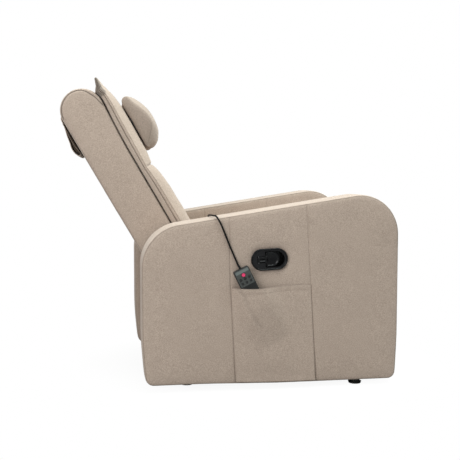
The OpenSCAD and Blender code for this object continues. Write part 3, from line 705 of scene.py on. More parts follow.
bezel_hole = np.array([(q[0], q[2]) for q in (in_bezel(p[0], 0, p[1]) for p in oval(4.5))])
arm("arm_upholstery_right", -1, "arm_cover_right", bezel_hole)
arm("arm_upholstery_left", 1, "arm_cover_left", None)

for tag, sign in (("right", -1), ("left", 1)):
    for nm, ln in (("front", front_seam), ("rear", rear_seam)):
        pts = [p for p in resample(ln, 6.0, False) if inside([p], arm_ring)[0] and dist([p], arm_ring)[0] > 5]
        stitches("arm_seam_%s_%s" % (nm, tag), [(p[0] + 3.2, sign * stitch_face, p[1]) for p in pts])

# ---------------------------------------------------------------- pocket

pocket_low = cad("side_pocket")[0][2]


def seam_x(line_, z):
    p = sorted(line_, key=lambda q: q[1])
    return float(np.interp(z, [q[1] for q in p], [q[0] for q in p]))


def pocket():
    nx, nz = 80, 90
    low = pocket_low + 2
    drag_line = [(-134, 331), (-112, 322), (-96, 303), (-82, 268), (-64, 234), (-40, 200)]
    flat = []
    for j in range(nz + 1):
        for i in range(nx + 1):
            f = i / nx
            top = 333 - 3 * math.sin(math.pi * clamp(f * 1.5)) + 7 * ease(0.2, 1.0, f)
            z = low + (top - low) * j / nz
            xa, xb = seam_x(rear_seam, z) + 1.0, seam_x(front_seam, z) - 1.0
            z -= hang_of(xa + (xb - xa) * f, 30) * ease(0.3, 0.0, j / nz)
            flat.append((f, j / nz, top, xa + (xb - xa) * f, z, xa, xb))
    drags = dist([(q[3], q[4]) for q in flat], drag_line, False)
    out_v, out_s = [], []
    for (f, g, top, x, z, xa, xb), dd in zip(flat, drags):
        e_ = min(x - xa, xb - x)
        # how far the point lies from the remote control's axis, in its tilted frame
        dx, dz = x - remote_top[0], z - remote_top[1]
        u = dx * math.cos(remote_tilt) + dz * math.sin(remote_tilt)
        w = -dx * math.sin(remote_tilt) + dz * math.cos(remote_tilt)
        full = 23.5 * math.exp(-(max(0, abs(u) - 27) / 40) ** 2) * ease(-320, -118, w)
        belly = 5.0 * math.sin(math.pi * f) ** 0.7 * ease(0.0, 0.25, g) * (0.65 + 0.35 * g)
        h = max(full, belly) + 0.3 * min(full, belly)
        h *= 1 - math.exp(-e_ / 9)
        h *= ease(0.0, 0.05, g) * 0.9 + 0.1
        reach = ease(150, 235, z) * (1 - math.exp(-e_ / 5))
        h -= 2.6 * math.exp(-(dd / 8.0) ** 2) * reach
        near_hem = top - z
        # painted shade along the drag fold's valley and in the short folds under the hem
        crease_shade = 0.24 * math.exp(-(dd / 6.0) ** 2) * reach
        for cx, size, deep in ((-30, 4.5, 62), (22, 4.0, 45), (52, 4.0, 45)):
            fold = math.exp(-((x - cx - 0.10 * near_hem) / size) ** 2) * ease(deep, 6, near_hem)
            h -= 1.6 * fold
            crease_shade = max(crease_shade, 0.12 * fold)
        hang = wob(x, 0, z * 0.22, 30, 11.0) * ease(0.25, 1.0, g)
        h += (0.9 * hang + 0.8 * folds(x, 0, z, 70, 12)) * (1 - math.exp(-e_ / 14)) * ease(0, 0.12, g)
        h -= 0.8 * math.exp(-((near_hem - 17) / 1.5) ** 2)
        out_v.append((x, -401.6 - max(0.4, h), z))
        # painted shade: along the side seams, the hem's stitch line and the folds, and a dark line at the
        # pocket's mouth
        out_s.append(max(0.42 * seam_of(e_, 1.6), 0.12 * seam_of(near_hem - 17, 1.3), crease_shade,
                         1.2 * seam_of(near_hem, 1.8)))
    n = nx + 1
    faces = [(j * n + i, j * n + i + 1, (j + 1) * n + i + 1, (j + 1) * n + i)
             for j in range(nz) for i in range(nx)]
    o = make("pocket_panel", out_v, faces, cloth, "base", out_s, ("side_pocket",))
    so = o.modifiers.new("thickness", "SOLIDIFY")
    so.thickness = 0.0022
    so.offset = -1
    bv = o.modifiers.new("edge", "BEVEL")
    bv.width = 0.0008
    bv.segments = 2
    bv.limit_method = "ANGLE"
    top_row = [out_v[nz * n + i] for i in range(n)]
    stitches("pocket_hem_thread", [(x, y - 0.5, z - 17) for x, y, z in top_row[2:-2]], r=0.4)
    return o


pocket()

# ---------------------------------------------------------------- back, in its own leaning frame

lean = math.radians(30)
cap_x, cap_z = -600.0, 898.0


def in_back(v, y, u):
    return (cap_x + v * math.cos(lean) - u * math.sin(lean), y,
            cap_z + v * math.sin(lean) + u * math.cos(lean))


R = 71.5
draw_in = 7.5
box_ring = resample([(12 - R + e, -650 + e)] + [(R - draw_in - e - 12, -650 + e)] +
                    arc(R - draw_in - e - 12, -650 + e + 12, 12, -90, 0, 5) + [(R - draw_in - e, -180)] +
                    arc(0, 0, R - e, 0, 180, 40) +
                    arc(12 - R + e, -650 + e + 12, 12, 180, 270, 5), 7.5)


# a shallow groove with a painted shadow line along the half-round top, as (angle, distance in from the edge)
SHADOW_GROOVE = [(10, 8.5), (27, 10.5), (40, 8.5), (50, 6.5), (60, 4.6), (75, 3.6), (90, 3.2), (130, 3.0),
        (165, 3.0), (176, 2.2)]
shadow_groove_line = [(66.3, -18), (62.5, -4)]
for t_ in range(10, 177, 5):
    r_ = R - e - float(np.interp(t_, [q[0] for q in SHADOW_GROOVE], [q[1] for q in SHADOW_GROOVE]))
    shadow_groove_line.append((r_ * math.cos(math.radians(t_)), r_ * math.sin(math.radians(t_))))


def back_panel(P, d, side):
    off, sv = [], []
    for (x, z), a, w in zip(P, d, dist(P, shadow_groove_line, False)):
        o = 3.0 * (1 - math.exp(-a / 3.5)) + 2.4 * (1 - math.exp(-a / 28))
        o += 0.5 * folds(x, 70 * side, z, 80, 21) * (1 - math.exp(-a / 15))
        o += 0.4 * wob(x, side * 9, z, 14, 24) * math.exp(-a / 12) * (1 - seam_of(a))
        shadow_groove = seam_of(w, 1.7)
        off.append(o - 1.8 * shadow_groove)
        # painted shade along the sewn edge, fading out over the top, and a painted shadow line along the
        # groove near the half-round top
        sv.append(max(0.85 * seam_of(a, 1.3) * (1 - ease(-40, -10, z)), 1.8 * shadow_groove))
    return off, sv


def back_band(i, w, y):
    x, z = box_ring[i]
    o = 2.6 * (1 - math.exp(-w / 3.5)) + 0.6 * (1 - math.exp(-w / 40))
    rear = ease(-20, -60, x) * ease(-150, -220, z)
    o += rear * 1.2 * folds(x, y, z, 120, 31) * (1 - math.exp(-w / 25))
    o += 0.4 * wob(x, y, z, 15, 26) * math.exp(-w / 10) * (1 - seam_of(w))
    # painted shade along the band's sewn edges, fading out over the top
    return o, 0.85 * seam_of(w, 1.3) * (1 - ease(-40, -10, z))


slab("back_upholstery", box_ring, -238.0, 238.0, back_panel, back_band, body="back", place=in_back,
     seams=([shadow_groove_line], [shadow_groove_line]),
     replaces=("back_box",), wide=26.0)

# front edge of the pillow-top pad, as depth over the box against height along the back
FRONT = [(-602, 96), (-596, 106), (-585, 114), (-560, 121), (-520, 126), (-450, 128), (-400, 127),
         (-360, 126), (-330, 124), (-300, 120), (-280, 116), (-264, 112.5), (-251, 113.5),
         (-218, 116.5), (-150, 119), (-90, 119.8), (-47, 119.4), (-7, 115), (15, 110), (34, 104.2),
         (51, 101.2), (62, 100.0), (69, 98.6), (73, 96.6)]
BACK = [(-602, 66.0), (-180, 66.0), (-129, 67.2), (-76, 69.8), (-22, 74.6), (0, 75.4), (15, 74.2),
        (25, 70.5), (32, 67.2), (38, 71.5), (44, 76.5), (56, 81.0), (66, 84.8), (73, 87.4)]


def table(rows, u):
    return float(np.interp(u, [r[0] for r in rows], [r[1] for r in rows]))


def back_pad():
    us = [u for span in ((-602, -560, 10), (-552, -300, 42), (-295, -232, 28), (-224, -20, 34),
                         (-12, 73, 26)) for u in np.linspace(*span)]
    W = 242.0
    side = [(0.00, -3.2), (0.01, -1.4), (0.04, -0.5), (0.10, 0), (0.19, 0), (0.245, -0.5),
            (0.265, -1.8), (0.28, -3.8), (0.295, -1.8), (0.315, -0.7), (0.36, -0.6), (0.40, -0.9),
            (0.42, -1.6), (0.437, -3.0), (0.455, -1.8), (0.475, -1.5)]
    prof = [(f, W + dy, 0) for f, dy in side]
    for k in range(1, 13):
        prof.append((0.475 + 0.525 * (1 - (1 - k / 12) ** 2.2), W - 1.5 - 61.5 * k / 12, 1))
    flat = list(np.linspace(W - 63 - 12, 0, 15))
    prof += [(1.0, y, 2) for y in flat]
    full = [(f, -y, t) for f, y, t in prof] + [(f, y, t) for f, y, t in reversed(prof[:-1])]
    rear = [(0.0, y, 3) for y in np.linspace(W - 30, -(W - 30), 9)]
    full += rear
    n = len(full)
    verts, seam = [], []
    for u in us:
        v0, v2 = table(BACK, u), table(FRONT, u)
        for f, y, t in full:
            v = v0 + f * (v2 - v0)
            ay = abs(y)
            s = 0.0
            if t in (1, 2):
                on = ease(W + 2, W - 50, ay)
                v += 0.8 * on * (1 - (ay / W) ** 2) * ease(75, -20, u) * ease(-602, -560, u)
                # seam across between the head and lumbar parts, with gathers either side
                g = abs(u + 262 + 3 * math.cos(y / 90))
                v -= (4.5 * math.exp(-(g / 3.2) ** 2) + 3.0 * math.exp(-g / 12)) * (0.35 + 0.65 * on)
                v += 0.9 * math.sin(y / 8.5 + 2 * wob(0, y, 0, 40, 2)) * math.exp(-((g - 10) / 9) ** 2) * on
                # painted shade in the seam's groove
                s = max(s, 0.8 * math.exp(-(g / 2.0) ** 2))
                # two sewn channels down the lumbar part
                c = abs(ay - 118)
                low = ease(-262, -285, u)
                v -= (3.4 * math.exp(-(c / 4.0) ** 2) + 2.4 * math.exp(-c / 16)) * low
                v += 0.7 * math.sin(u / 8.0 + 2 * wob(u, 0, 0, 40, 7)) * math.exp(-((c - 13) / 10) ** 2) * low
                # painted shade in the channels' grooves
                s = max(s, 0.6 * math.exp(-(c / 2.4) ** 2) * low)
                calm = 0.35 + 0.65 * ease(-225, -262, u)
                v += (1.5 * folds(u, y, 0, 90, 41) + 0.7 * wob(u, y, 0, 22, 44)) * on * calm
                # soft dents where the fabric is gathered into the side seam
                v += 1.0 * wob(u, 0, 3, 16, 47 + (y > 0)) * math.exp(-((W - ay) / 16) ** 2)
                # painted shade over the top of the front face, near its sides
                s = max(s, 1.6 * ease(10, 20, u) * ease(0.72, 0.66, f))
            elif t == 0:
                if 0.1 < f < 0.48:
                    y += math.copysign(0.6 * wob(u, 0, f * 40, 17, 51), y) if y else 0
                # painted shade: the two seams on the pad's sides, its rear edge, and its sides above u = 12
                s = max(0.75 * math.exp(-((f - 0.437) / 0.013) ** 2),
                        1.5 * math.exp(-((f - 0.28) / 0.016) ** 2))
                s = max(s, 0.35 * math.exp(-f / 0.04), 1.6 * ease(2, 12, u))
                y += math.copysign(1.3 * wob(u, 7, 0, 70, 53), y)
            # the top edge dips between its two pointed corners
            uu = u - 13 * (1 - (ay / W) ** 2) * ease(-10, 72, u)
            draw = ease(30, 72, u)
            y *= 1 - 0.012 * draw
            verts.append((v, y, uu))
            seam.append(s)
    faces = []
    for j in range(len(us) - 1):
        for k in range(n):
            a, b = j * n + k, j * n + (k + 1) % n
            faces.append((a, b, b + n, a + n))
    faces.append(tuple(range(n)))
    faces.append(tuple(range((len(us) - 1) * n, len(us) * n)))
    o = make("back_pad_cushion", verts, faces, cloth, "back", seam, ("back_pad",), in_back)
    sb = o.modifiers.new("fine", "SUBSURF")
    sb.levels = sb.render_levels = 1
    for sgn, tag in ((-1, "right"), (1, "left")):
        for f, nm in ((0.325, "front"), (0.23, "rear")):
            path = []
            for u in np.arange(-560, 40, 6.0):
                v0, v2 = table(BACK, u), table(FRONT, u)
                path.append(in_back(v0 + f * (v2 - v0), sgn * (W - 0.2 + 1.3 * wob(u, 7, 0, 70, 53)), u))
            stitches("pad_thread_%s_%s" % (nm, tag), path, body="back")
    return o


back_pad()

# ---------------------------------------------------------------- head pillow

# the sewn side panel's outline and the fuller outline in the middle, as (depth, height) points
# that match in pairs
END = [(124.5, -42), (133, -26), (143, -23.5), (151, -28), (158.5, -49.4), (170.5, -74.6),
       (181, -102), (183.5, -130), (175.2, -151.7), (159.2, -172.1), (144, -186.6), (134, -196),
       (126.5, -203), (123.4, -194), (123.4, -150), (123.8, -95)]
MID = [(128, -46), (134, -29), (148, -24), (168, -35), (182.5, -57), (193.5, -84), (198.5, -112),
       (198, -141.6), (193.5, -168), (183, -189.5), (167, -207.5), (146, -216), (133, -211),
       (128, -194), (127.8, -150), (127.8, -95)]


def ring_through(points, n):
    P = [np.array(p, float) for p in points]
    out = []
    for i in range(len(P)):
        a, b, c, d = (P[(i + j) % len(P)] for j in (-1, 0, 1, 2))
        out += [catmull(a, b, c, d, k / n) for k in range(n)]
    return np.array(out)


def head_pillow():
    end, mid = ring_through(END, 6), ring_through(MID, 6)
    half = 192.0
    ys = (0, 0.7, 1.8, 3.5, 6, 10, 15, 21, 28, 36, 45, 55, 66, 78, 92, 108, 126, 148, 170)
    ends = ((4.6, 0.30), (4.3, 0.55), (3.6, 0.76), (2.4, 0.89), (1.0, 0.965))
    rows = [(-half - out, 0.0, k) for out, k in ends] + [(-half + n, n, 1.0) for n in ys]
    rows.append((0.0, half, 1.0))
    rows = rows + [(-y, n, k) for y, n, k in reversed(rows[:-1])]
    rings, seam = [], []
    for y, near, scale in rows:
        g = 1 - max(0.0, 1 - near / 82.0) ** 2.3
        c = end * (1 - g) + mid * g
        mid_pt = c.mean(0)
        ring = []
        for p in c:
            q = mid_pt + (p - mid_pt) * scale
            r_ = q - mid_pt
            r_ = r_ / max(np.linalg.norm(r_), 1e-6)
            front = ease(130, 141, p[0])
            swell = 2.6 * (1 - math.exp(-near / 3.5)) - 2.6
            gather = math.exp(-near / 16) * (1 - math.exp(-near / 3))
            d = swell + front * (1.0 * folds(q[0], y, q[1], 60, 63) * (1 - math.exp(-near / 20)) +
                                 1.1 * wob(q[0], y, q[1], 13, 65) * gather)
            if scale < 1:
                d = -2.6
            q = q + r_ * d
            ring.append(in_back(max(q[0], 122.6 + 4.2 * ease(60, 90, near)), y, q[1]))
            # painted shade: the pillow darkens from its middle towards each end, and its side panels are
            # painted dark too
            shade = 0.40 * ease(66, 30, near)
            if scale == 1.0:
                seam.append(max(0.95 * math.exp(-(near / 2.2) ** 2), shade))
            else:
                seam.append(max(0.66, 0.95 * math.exp(-((1 - scale) / 0.05) ** 2)))
        rings.append(ring)
    return loft("head_pillow_cushion", rings, cloth, "head_pillow", ("head_pillow",), seam=seam)


pillow = head_pillow()

# ---------------------------------------------------------------- strap and its weighted end


def ribbon(name, path, width, thick, body, replaces, edge=4.0, wave=1.2):
    """A flat fabric strap swept along a path of (depth, height) points across the back's frame."""
    c = np.array(spline([np.array(p, float) for p in path], 6))
    t = np.gradient(c, axis=0)
    t /= np.linalg.norm(t, axis=1)[:, None]
    nrm = np.stack([-t[:, 1], t[:, 0]], 1)
    rings, seam = [], []
    for j in range(len(c)):
        half = width(c[j]) / 2
        side = [-half, -half + 0.6, -half + edge * 0.5, -half + edge, -half + edge + 4]
        ys = side + list(np.linspace(-half + 16, half - 16, 15)) + [-y for y in reversed(side)]
        ring = []
        for sgn in (1, -1):
            row = ys if sgn > 0 else ys[::-1]
            for y in row:
                near = half - abs(y)
                h = thick / 2 * (1 - 0.75 * math.exp(-near / 0.8))
                h -= 0.35 * math.exp(-((near - edge) / 1.0) ** 2)
                drift = wave * wob(c[j][0], y, c[j][1], 55, 71)
                p = c[j] + nrm[j] * (sgn * h + drift)
                ring.append(in_back(p[0], y, p[1]))
                # painted shade along each edge's stitch groove, and the inner layer that returns up behind
                # the loop painted dark as shade
                seam.append(max(0.6 * math.exp(-((near - edge) / 1.1) ** 2),
                                1.7 * ease(0.79, 0.83, j / len(c))))
        rings.append(ring)
    return loft(name, rings, cloth, body, replaces, seam=seam)


strap_path = [(125, -150), (123.8, -90), (123.6, -47), (119.5, -6), (110.5, 32), (106, 50),
              (101.8, 61), (95, 65), (88, 64.2), (81.5, 57), (75.5, 48.5), (71, 43), (66, 40.8),
              (59.5, 45), (50, 55.5), (36, 65.3), (20, 71.8), (0, 74.6), (-24, 70.8), (-42, 61.8),
              (-57, 48.6), (-68, 32), (-74, 12), (-75.4, -2), (-78.2, -20), (-85, -46),
              (-88.4, -66), (-93, -86), (-92, -103.5), (-86.5, -116), (-80, -118.8), (-76.8, -112),
              (-78.2, -98), (-80.4, -80), (-80.2, -60), (-78.8, -40), (-77, -18), (-76.6, -2)]


def strap_width(p):
    return 186 + 194 * ease(34, 8, p[1]) if p[0] < 0 else 186


ribbon("pillow_strap_webbing", strap_path, strap_width, 3.0, "back", ("pillow_strap",), wave=0.6)
fold = [(-75.8, -8), (-76.9, -26), (-78.6, -44), (-81.8, -60), (-85.6, -78), (-88.2, -94),
        (-87.0, -106), (-82, -113.5), (-77.4, -112), (-75.6, -104), (-75.2, -80), (-75.2, -44),
        (-75.4, -12)]
fold_rows = [(-188.6, 0.80), (-188.2, 0.95)]
fold_rows += [(float(y), 1.0) for y in np.linspace(-187.4, 187.4, 32)] + [(188.2, 0.95), (188.6, 0.80)]
# a dark sheet that fills the hollow inside the strap's weighted loop: painted shade
shade_fill = [[in_back(v * k + (1 - k) * -79.0 + 0.5 * wob(0, y, u, 30, 77), y, u * k + (1 - k) * -66.0)
           for v, u in fold] for y, k in fold_rows]
loft("pillow_strap_shade_fill", shade_fill, mats["shade_fill"], "back", ())
core = [in_back(-84.8 + 0.4 * wob(0, y, 0, 40, 5), y, -106.5) for y in np.linspace(-189.5, 189.5, 40)]
tube("pillow_strap_weight", core, 4.2, mats["cover_cloth"], "back",
     taper=[2.2, 3.6] + [4.0 + 0.15 * math.sin(2.1 * k) for k in range(36)] + [3.6, 2.2])

# ---------------------------------------------------------------- seat cushion

sc_lo, sc_hi = cad("seat_cushion")
nose = (sc_hi[2] - sc_lo[2]) / 2
mid_z = (sc_hi[2] + sc_lo[2]) / 2
seat_ring = resample(arc(sc_hi[0] - nose - 3, mid_z, nose - 4, -90, 90, 24) +
                     arc(sc_lo[0] + 27, sc_hi[2] - 28, 24, 90, 180, 8) +
                     arc(sc_lo[0] + 27, sc_lo[2] + 28, 24, 180, 270, 8), 8.0)
seat_s = np.concatenate([[0], np.cumsum(np.linalg.norm(np.diff(seat_ring, axis=0), axis=1))])
seat_top = int(np.argmin(np.hypot(seat_ring[:, 0] - (sc_hi[0] - nose + 8), seat_ring[:, 1] - sc_hi[2])))
seat_bot = int(np.argmin(np.hypot(seat_ring[:, 0] - (sc_hi[0] - nose + 8), seat_ring[:, 1] - sc_lo[2])))


def seat_panel(P, d, side):
    off, sv = [], []
    for (x, z), a in zip(P, d):
        o = 2.0 * (1 - math.exp(-a / 4)) + 1.6 * (1 - math.exp(-a / 20))
        o += 0.5 * wob(x, side * 9, z, 20, 81) * (1 - math.exp(-a / 8))
        off.append(o)
        # painted shade along the sewn edge
        sv.append(0.8 * seam_of(a, 1.5))
    return off, sv


def seat_band(i, w, y):
    x, z = seat_ring[i]
    top = ease(sc_lo[2] + 20, sc_hi[2] - 25, z) if x < sc_hi[0] - nose else 0.7
    o = 2.8 * (1 - math.exp(-w / 4)) + 4.0 * top * (1 - math.exp(-w / 55))
    g = min(abs(seat_s[i] - seat_s[seat_top]), abs(seat_s[i] - seat_s[seat_bot]))
    o -= 3.6 * math.exp(-(g / 4.5) ** 2) + 2.2 * math.exp(-g / 18)
    o += 0.9 * math.sin(y / 8.0 + 2 * wob(0, y, 0, 40, 83)) * math.exp(-((g - 14) / 10) ** 2)
    o += top * 1.2 * folds(x, y, z, 100, 85) * (1 - math.exp(-w / 25))
    o += 0.6 * wob(x, y, z, 16, 87) * math.exp(-w / 12) * (1 - seam_of(w, 2))
    # painted shade along the sewn edges and in the two grooves across the band
    return o, max(0.8 * seam_of(w, 1.5), 0.75 * math.exp(-(g / 3.0) ** 2))


seat = slab("seat_cushion_cover", seat_ring, -half_gap, half_gap, seat_panel, seat_band,
            replaces=("seat_cushion",),
            wide=14.0)

# ---------------------------------------------------------------- footrest pad

ft_lo, ft_hi = cad("footrest_pad")
foot_ring = resample(arc(ft_hi[0] - 18, ft_lo[2] + 17, 16, -90, 0, 8) +
                     arc(ft_hi[0] - 18, ft_hi[2] - 17, 16, 0, 90, 8) +
                     [(ft_lo[0] + 3, ft_hi[2] - 1), (ft_lo[0] + 0.5, ft_hi[2] - 4),
                      (ft_lo[0] + 0.5, ft_lo[2] + 4), (ft_lo[0] + 3, ft_lo[2] + 1)], 7.0)
foot_mid = (ft_lo[2] + ft_hi[2]) / 2


def foot_panel(P, d, side):
    off, sv = [], []
    for (x, z), a in zip(P, d):
        off.append(2.4 * (1 - math.exp(-a / 5)) + 0.4 * wob(x, side * 9, z, 18, 91) * (1 - math.exp(-a / 6)))
        # painted shade along the sewn edge
        sv.append(0.8 * seam_of(a, 1.5))
    return off, sv


def foot_band(i, w, y):
    x, z = foot_ring[i]
    front = ease(ft_hi[0] - 12, ft_hi[0] - 4, x)
    crown = (1 - math.exp(-w / 50)) * math.cos((z - foot_mid) / 130 * 1.1)
    o = 2.0 * (1 - math.exp(-w / 5)) + 4.5 * front * crown
    g = abs(z - foot_mid - 8)
    o -= front * (4.0 * math.exp(-(g / 4.0) ** 2) + 2.6 * math.exp(-g / 16))
    o += front * 0.8 * math.sin(y / 8.0 + 2 * wob(0, y, 0, 40, 93)) * math.exp(-((g - 13) / 9) ** 2)
    o += front * 0.9 * folds(x, y, z, 90, 95) * (1 - math.exp(-w / 20))
    # painted shade along the sewn edges and in the groove across the front
    return o, max(0.8 * seam_of(w, 1.5), front * 0.75 * math.exp(-(g / 3.0) ** 2))


footpad = slab("footrest_cushion_cover", foot_ring, -half_gap, half_gap, foot_panel, foot_band,
               body="footrest",
               replaces=("footrest_pad",), wide=14.0, step=9.0, insets=(0.8, 2.0, 3.8, 6.5, 11.0))

# ---------------------------------------------------------------- fabric round the timber that shows


def wrap(name, lo, hi, body, replaces=()):
    r = 3.0
    ring = resample(arc(hi[0] - r, lo[2] + r, r, -90, 0, 4) + arc(hi[0] - r, hi[2] - r, r, 0, 90, 4) +
                    arc(lo[0] + r, hi[2] - r, r, 90, 180, 4) + arc(lo[0] + r, lo[2] + r, r, 180, 270, 4), 4.0)
    out = normals_of(ring)
    ends = [(0.0, 2.4), (0.7, 0.8), (2.4, 0.0)]
    rows = [(lo[1] + y, k) for y, k in ends]
    rows += [(float(y), 0.0) for y in np.linspace(lo[1] + 10, hi[1] - 10, 50)]
    rows += [(hi[1] - y, k) for y, k in reversed(ends)]
    rings, seam = [], []
    for y, k in rows:
        for q, nq in zip(ring, out):
            o = 0.35 * wob(q[0], y, q[1], 16, 97) - k - 0.35
            rings.append((q[0] + nq[0] * o, y, q[1] + nq[1] * o))
            # painted shade where the fabric tucks in at the ends
            seam.append(0.25 if k > 0.5 else 0.0)
    n = len(ring)
    rings = [rings[i:i + n] for i in range(0, len(rings), n)]
    return loft(name, rings, cloth, body, replaces, seam=seam)


bd_lo, bd_hi = cad("footrest_board")
wrap("footrest_board_cover", [v - 0.9 for v in bd_lo], [v + 0.9 for v in bd_hi], "footrest",
     ("footrest_board",))
sf_lo, sf_hi = cad("seat_frame")
wrap("seat_rail_cover", (sf_hi[0] - 41, sf_lo[1] - 0.9, sf_lo[2] - 1.2),
     (sf_hi[0] + 1.4, sf_hi[1] + 0.9, sf_hi[2] - 0.2), "base")

for cushion, cap in ((seat, 7.0), (footpad, 4.0), (pillow, 5.0)):
    held = [v.value for v in cushion.data.attributes["seam"].data]
    inflate(cushion, [clamp(1.6 * v) for v in held], 3.0, cap)

# ---------------------------------------------------------------- handle bezel and cup


def lever_ring(x0, x1, x2, half, r, corner=2.5):
    pts = arc(x0 + corner, -half + corner, corner, 180, 270, 5) + [(x1 - 3, -half), (x1, -half - 3)]
    pts += arc(x1 + corner + 1, -r + corner, corner, 180, 270, 5) + arc(x2 - r, 0, r, -90, 90, 40)
    pts += arc(x1 + corner + 1, r - corner, corner, 90, 180, 5) + [(x1, half + 3), (x1 - 3, half)]
    pts += arc(x0 + corner, half - corner, corner, 90, 180, 5)
    return resample(pts, 1.6)


lip = [(0.1, -403.4), (0.0, -404.4), (0.5, -405.3), (1.5, -405.9), (2.8, -406.0), (4.0, -405.5),
       (4.8, -404.6), (5.0, -403.4)]
loft("handle_bezel_lip", [[in_bezel(p[0], y, p[1]) for p in oval(inset, 120)] for inset, y in lip],
     mats["black_gloss"], "base", caps=(False, False))
hand = lever_ring(-35.0, -11.6, 31.3, 8.8, 23.3)
hn = normals_of(hand)
rows = [(1.0, -399.0), (0.2, -399.6), (0.0, -401.5), (0.3, -402.9), (1.2, -403.7), (2.4, -403.9),
        (3.6, -403.4),
        (5.0, -402.2), (6.6, -401.4), (7.6, -401.1)]
grip = [[in_bezel(p[0] - n[0] * inset, y, p[1] - n[1] * inset) for p, n in zip(hand, hn)]
        for inset, y in rows]
loft("pull_handle_grip", grip, mats["black_gloss"], "pull_handle", ("pull_handle",))
hub = [(1.2, -8.9), (2.7, -8.6), (3.1, -7.6), (3.1, 7.6), (2.7, 8.6), (1.2, 8.9)]
turns = [math.pi * k / 12 for k in range(24)]
loft("pull_handle_hub", [[in_bezel(-35 + r * math.cos(t), -400.5 + r * math.sin(t), z) for t in turns]
                         for r, z in hub], mats["black_gloss"], "pull_handle")

# ---------------------------------------------------------------- remote control's cord

cord_pts = [(-112.6, -403.7, 398.2), (-116, -403.7, 405), (-122.5, -403.7, 420),
            (-130, -403.7, 437), (-143.5, -403.7, 468.7), (-156.9, -403.7, 502.8),
            (-167.8, -403.7, 529.4), (-176.3, -403.4, 546.4), (-181.5, -399.5, 555.5),
            (-185.5, -388, 560.5), (-189, -360, 560.4), (-190.5, -325, 559.6), (-191, -290, 558.6),
            (-191, -262, 556.5), (-191, -250, 550.5), (-190.5, -246.9, 535), (-190, -246.9, 440),
            (-190, -246.8, 330), (-188, -246.4, 230), (-186, -235, 194), (-192, -190, 186),
            (-230, -152, 184), (-300, -150, 188), (-347, -150, 190)]
cord_path = spline([np.array(p, float) for p in cord_pts], 8)
tube("remote_cord_sleeve", cord_path, 2.9, mats["cord"], "base", ("remote_cord",))
up_remote = np.array([-math.sin(remote_tilt), 0, math.cos(remote_tilt)])
root = np.array([remote_top[0], -413.0, remote_top[1]]) - 1.0 * up_remote
relief = [root + up_remote * 1.15 * k + np.array([0, 0.26 * k, 0]) for k in range(13)]
tube("remote_cord_relief", relief, 4, mats["cord"], "remote",
     taper=[4.0, 4.1, 3.9, 3.3, 3.8, 3.1, 3.5, 2.9, 3.2, 2.8, 3.0, 2.7, 2.0])

# the remote control's face label: a thin plain sheet with openings for the window, the button and
# the keys


def in_remote(x, y, z):
    """From the remote control's own frame, whose top edge is at z = 65."""
    c, s = math.cos(remote_tilt), math.sin(remote_tilt)
    return (remote_top[0] + x * c - (z - 65) * s, y, remote_top[1] + x * s + (z - 65) * c)


sheet = resample(arc(-20.5, 60, 3.5, 90, 180, 5) + arc(-20.5, 12, 3.5, 180, 270, 5) +
                 arc(20.5, 12, 3.5, 270, 360, 5) + arc(20.5, 60, 3.5, 0, 90, 5), 1.2)
gaps = [(0, 44, 6.6)] + [(cx, cz, 4.4) for cz in (31, 18) for cx in (-14.6, 0, 14.6)]
P, F = triangulate(sheet, step=1.6, insets=(0.5, 1.1, 2.0))
ctr = np.array([P[list(t)].mean(0) for t in F])
open_ = (np.abs(ctr[:, 0]) < 22.4) & (np.abs(ctr[:, 1] - 56) < 5.4)
for cx, cz, r_ in gaps:
    open_ |= np.hypot(ctr[:, 0] - cx, ctr[:, 1] - cz) < r_
F = [t for t, o_ in zip(F, open_) if not o_]
face_y = 1000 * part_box("remote_case")[0][1]
label = make("remote_face_label", [in_remote(p[0], face_y - 0.12, p[1]) for p in P], F,
             mats["membrane"], "remote", None)
so = label.modifiers.new("thickness", "SOLIDIFY")
so.thickness = 0.0003
so.offset = 0

# ---------------------------------------------------------------- lower rear panel

rp_lo, rp_hi = cad("rear_panel")
rp_ring = resample([(rp_lo[1] + 2.5, rp_lo[2] + 2), (rp_hi[1] - 2.5, rp_lo[2] + 2),
                    (rp_hi[1] - 2.5, rp_hi[2] - 2), (rp_lo[1] + 2.5, rp_hi[2] - 2)], 8.0)
inlet_lo, inlet_hi = cad("power_inlet")
inlet = ((inlet_lo[1] + inlet_hi[1]) / 2, (inlet_lo[2] + inlet_hi[2]) / 2)
inlet_ring = np.array(arc(inlet[0], inlet[1], 10.4, 0, 360, 40)[:-1])
rear_line = [(rp_lo[1] + 2, rp_hi[2] - 34), (rp_hi[1] - 2, rp_hi[2] - 34)]


def rear_cover(P, d, side):
    off, sv = [], []
    b_ = dist(P, rear_line, False)
    c_ = dist(P, inlet_ring)
    for (y, z), a, b, c in zip(P, d, b_, c_):
        o = 1.4 * (1 - math.exp(-a / 4)) + 0.6 * (1 - math.exp(-a / 40))
        if side == 0:
            o += 0.45 * folds(0, y, z, 80, 33) * (1 - math.exp(-a / 15)) * (1 - math.exp(-c / 20))
            o -= 1.2 * math.exp(-(b / 1.7) ** 2) + 0.5 * math.exp(-b / 9) + 0.5 * math.exp(-c / 6)
        off.append(o)
        # painted shade along the sewn edge and the seam across
        sv.append(max(0.7 * seam_of(a, 1.3), 0.6 * seam_of(b, 1.3)))
    return off, sv


def rear_edge(i, w, y):
    # painted shade along the band's sewn edges
    return 1.2 * (1 - math.exp(-w / 3)), 0.7 * seam_of(w, 1.2)


slab("rear_panel_cover", rp_ring, rp_lo[0] + 1.6, rp_hi[0] - 0.4, rear_cover, rear_edge,
     seams=((rear_line,), ()), holes=(inlet_ring, inlet_ring), place=lambda y, x, z: (x, y, z),
     replaces=("rear_panel",))

# ---------------------------------------------------------------- CAD pieces: materials and edges

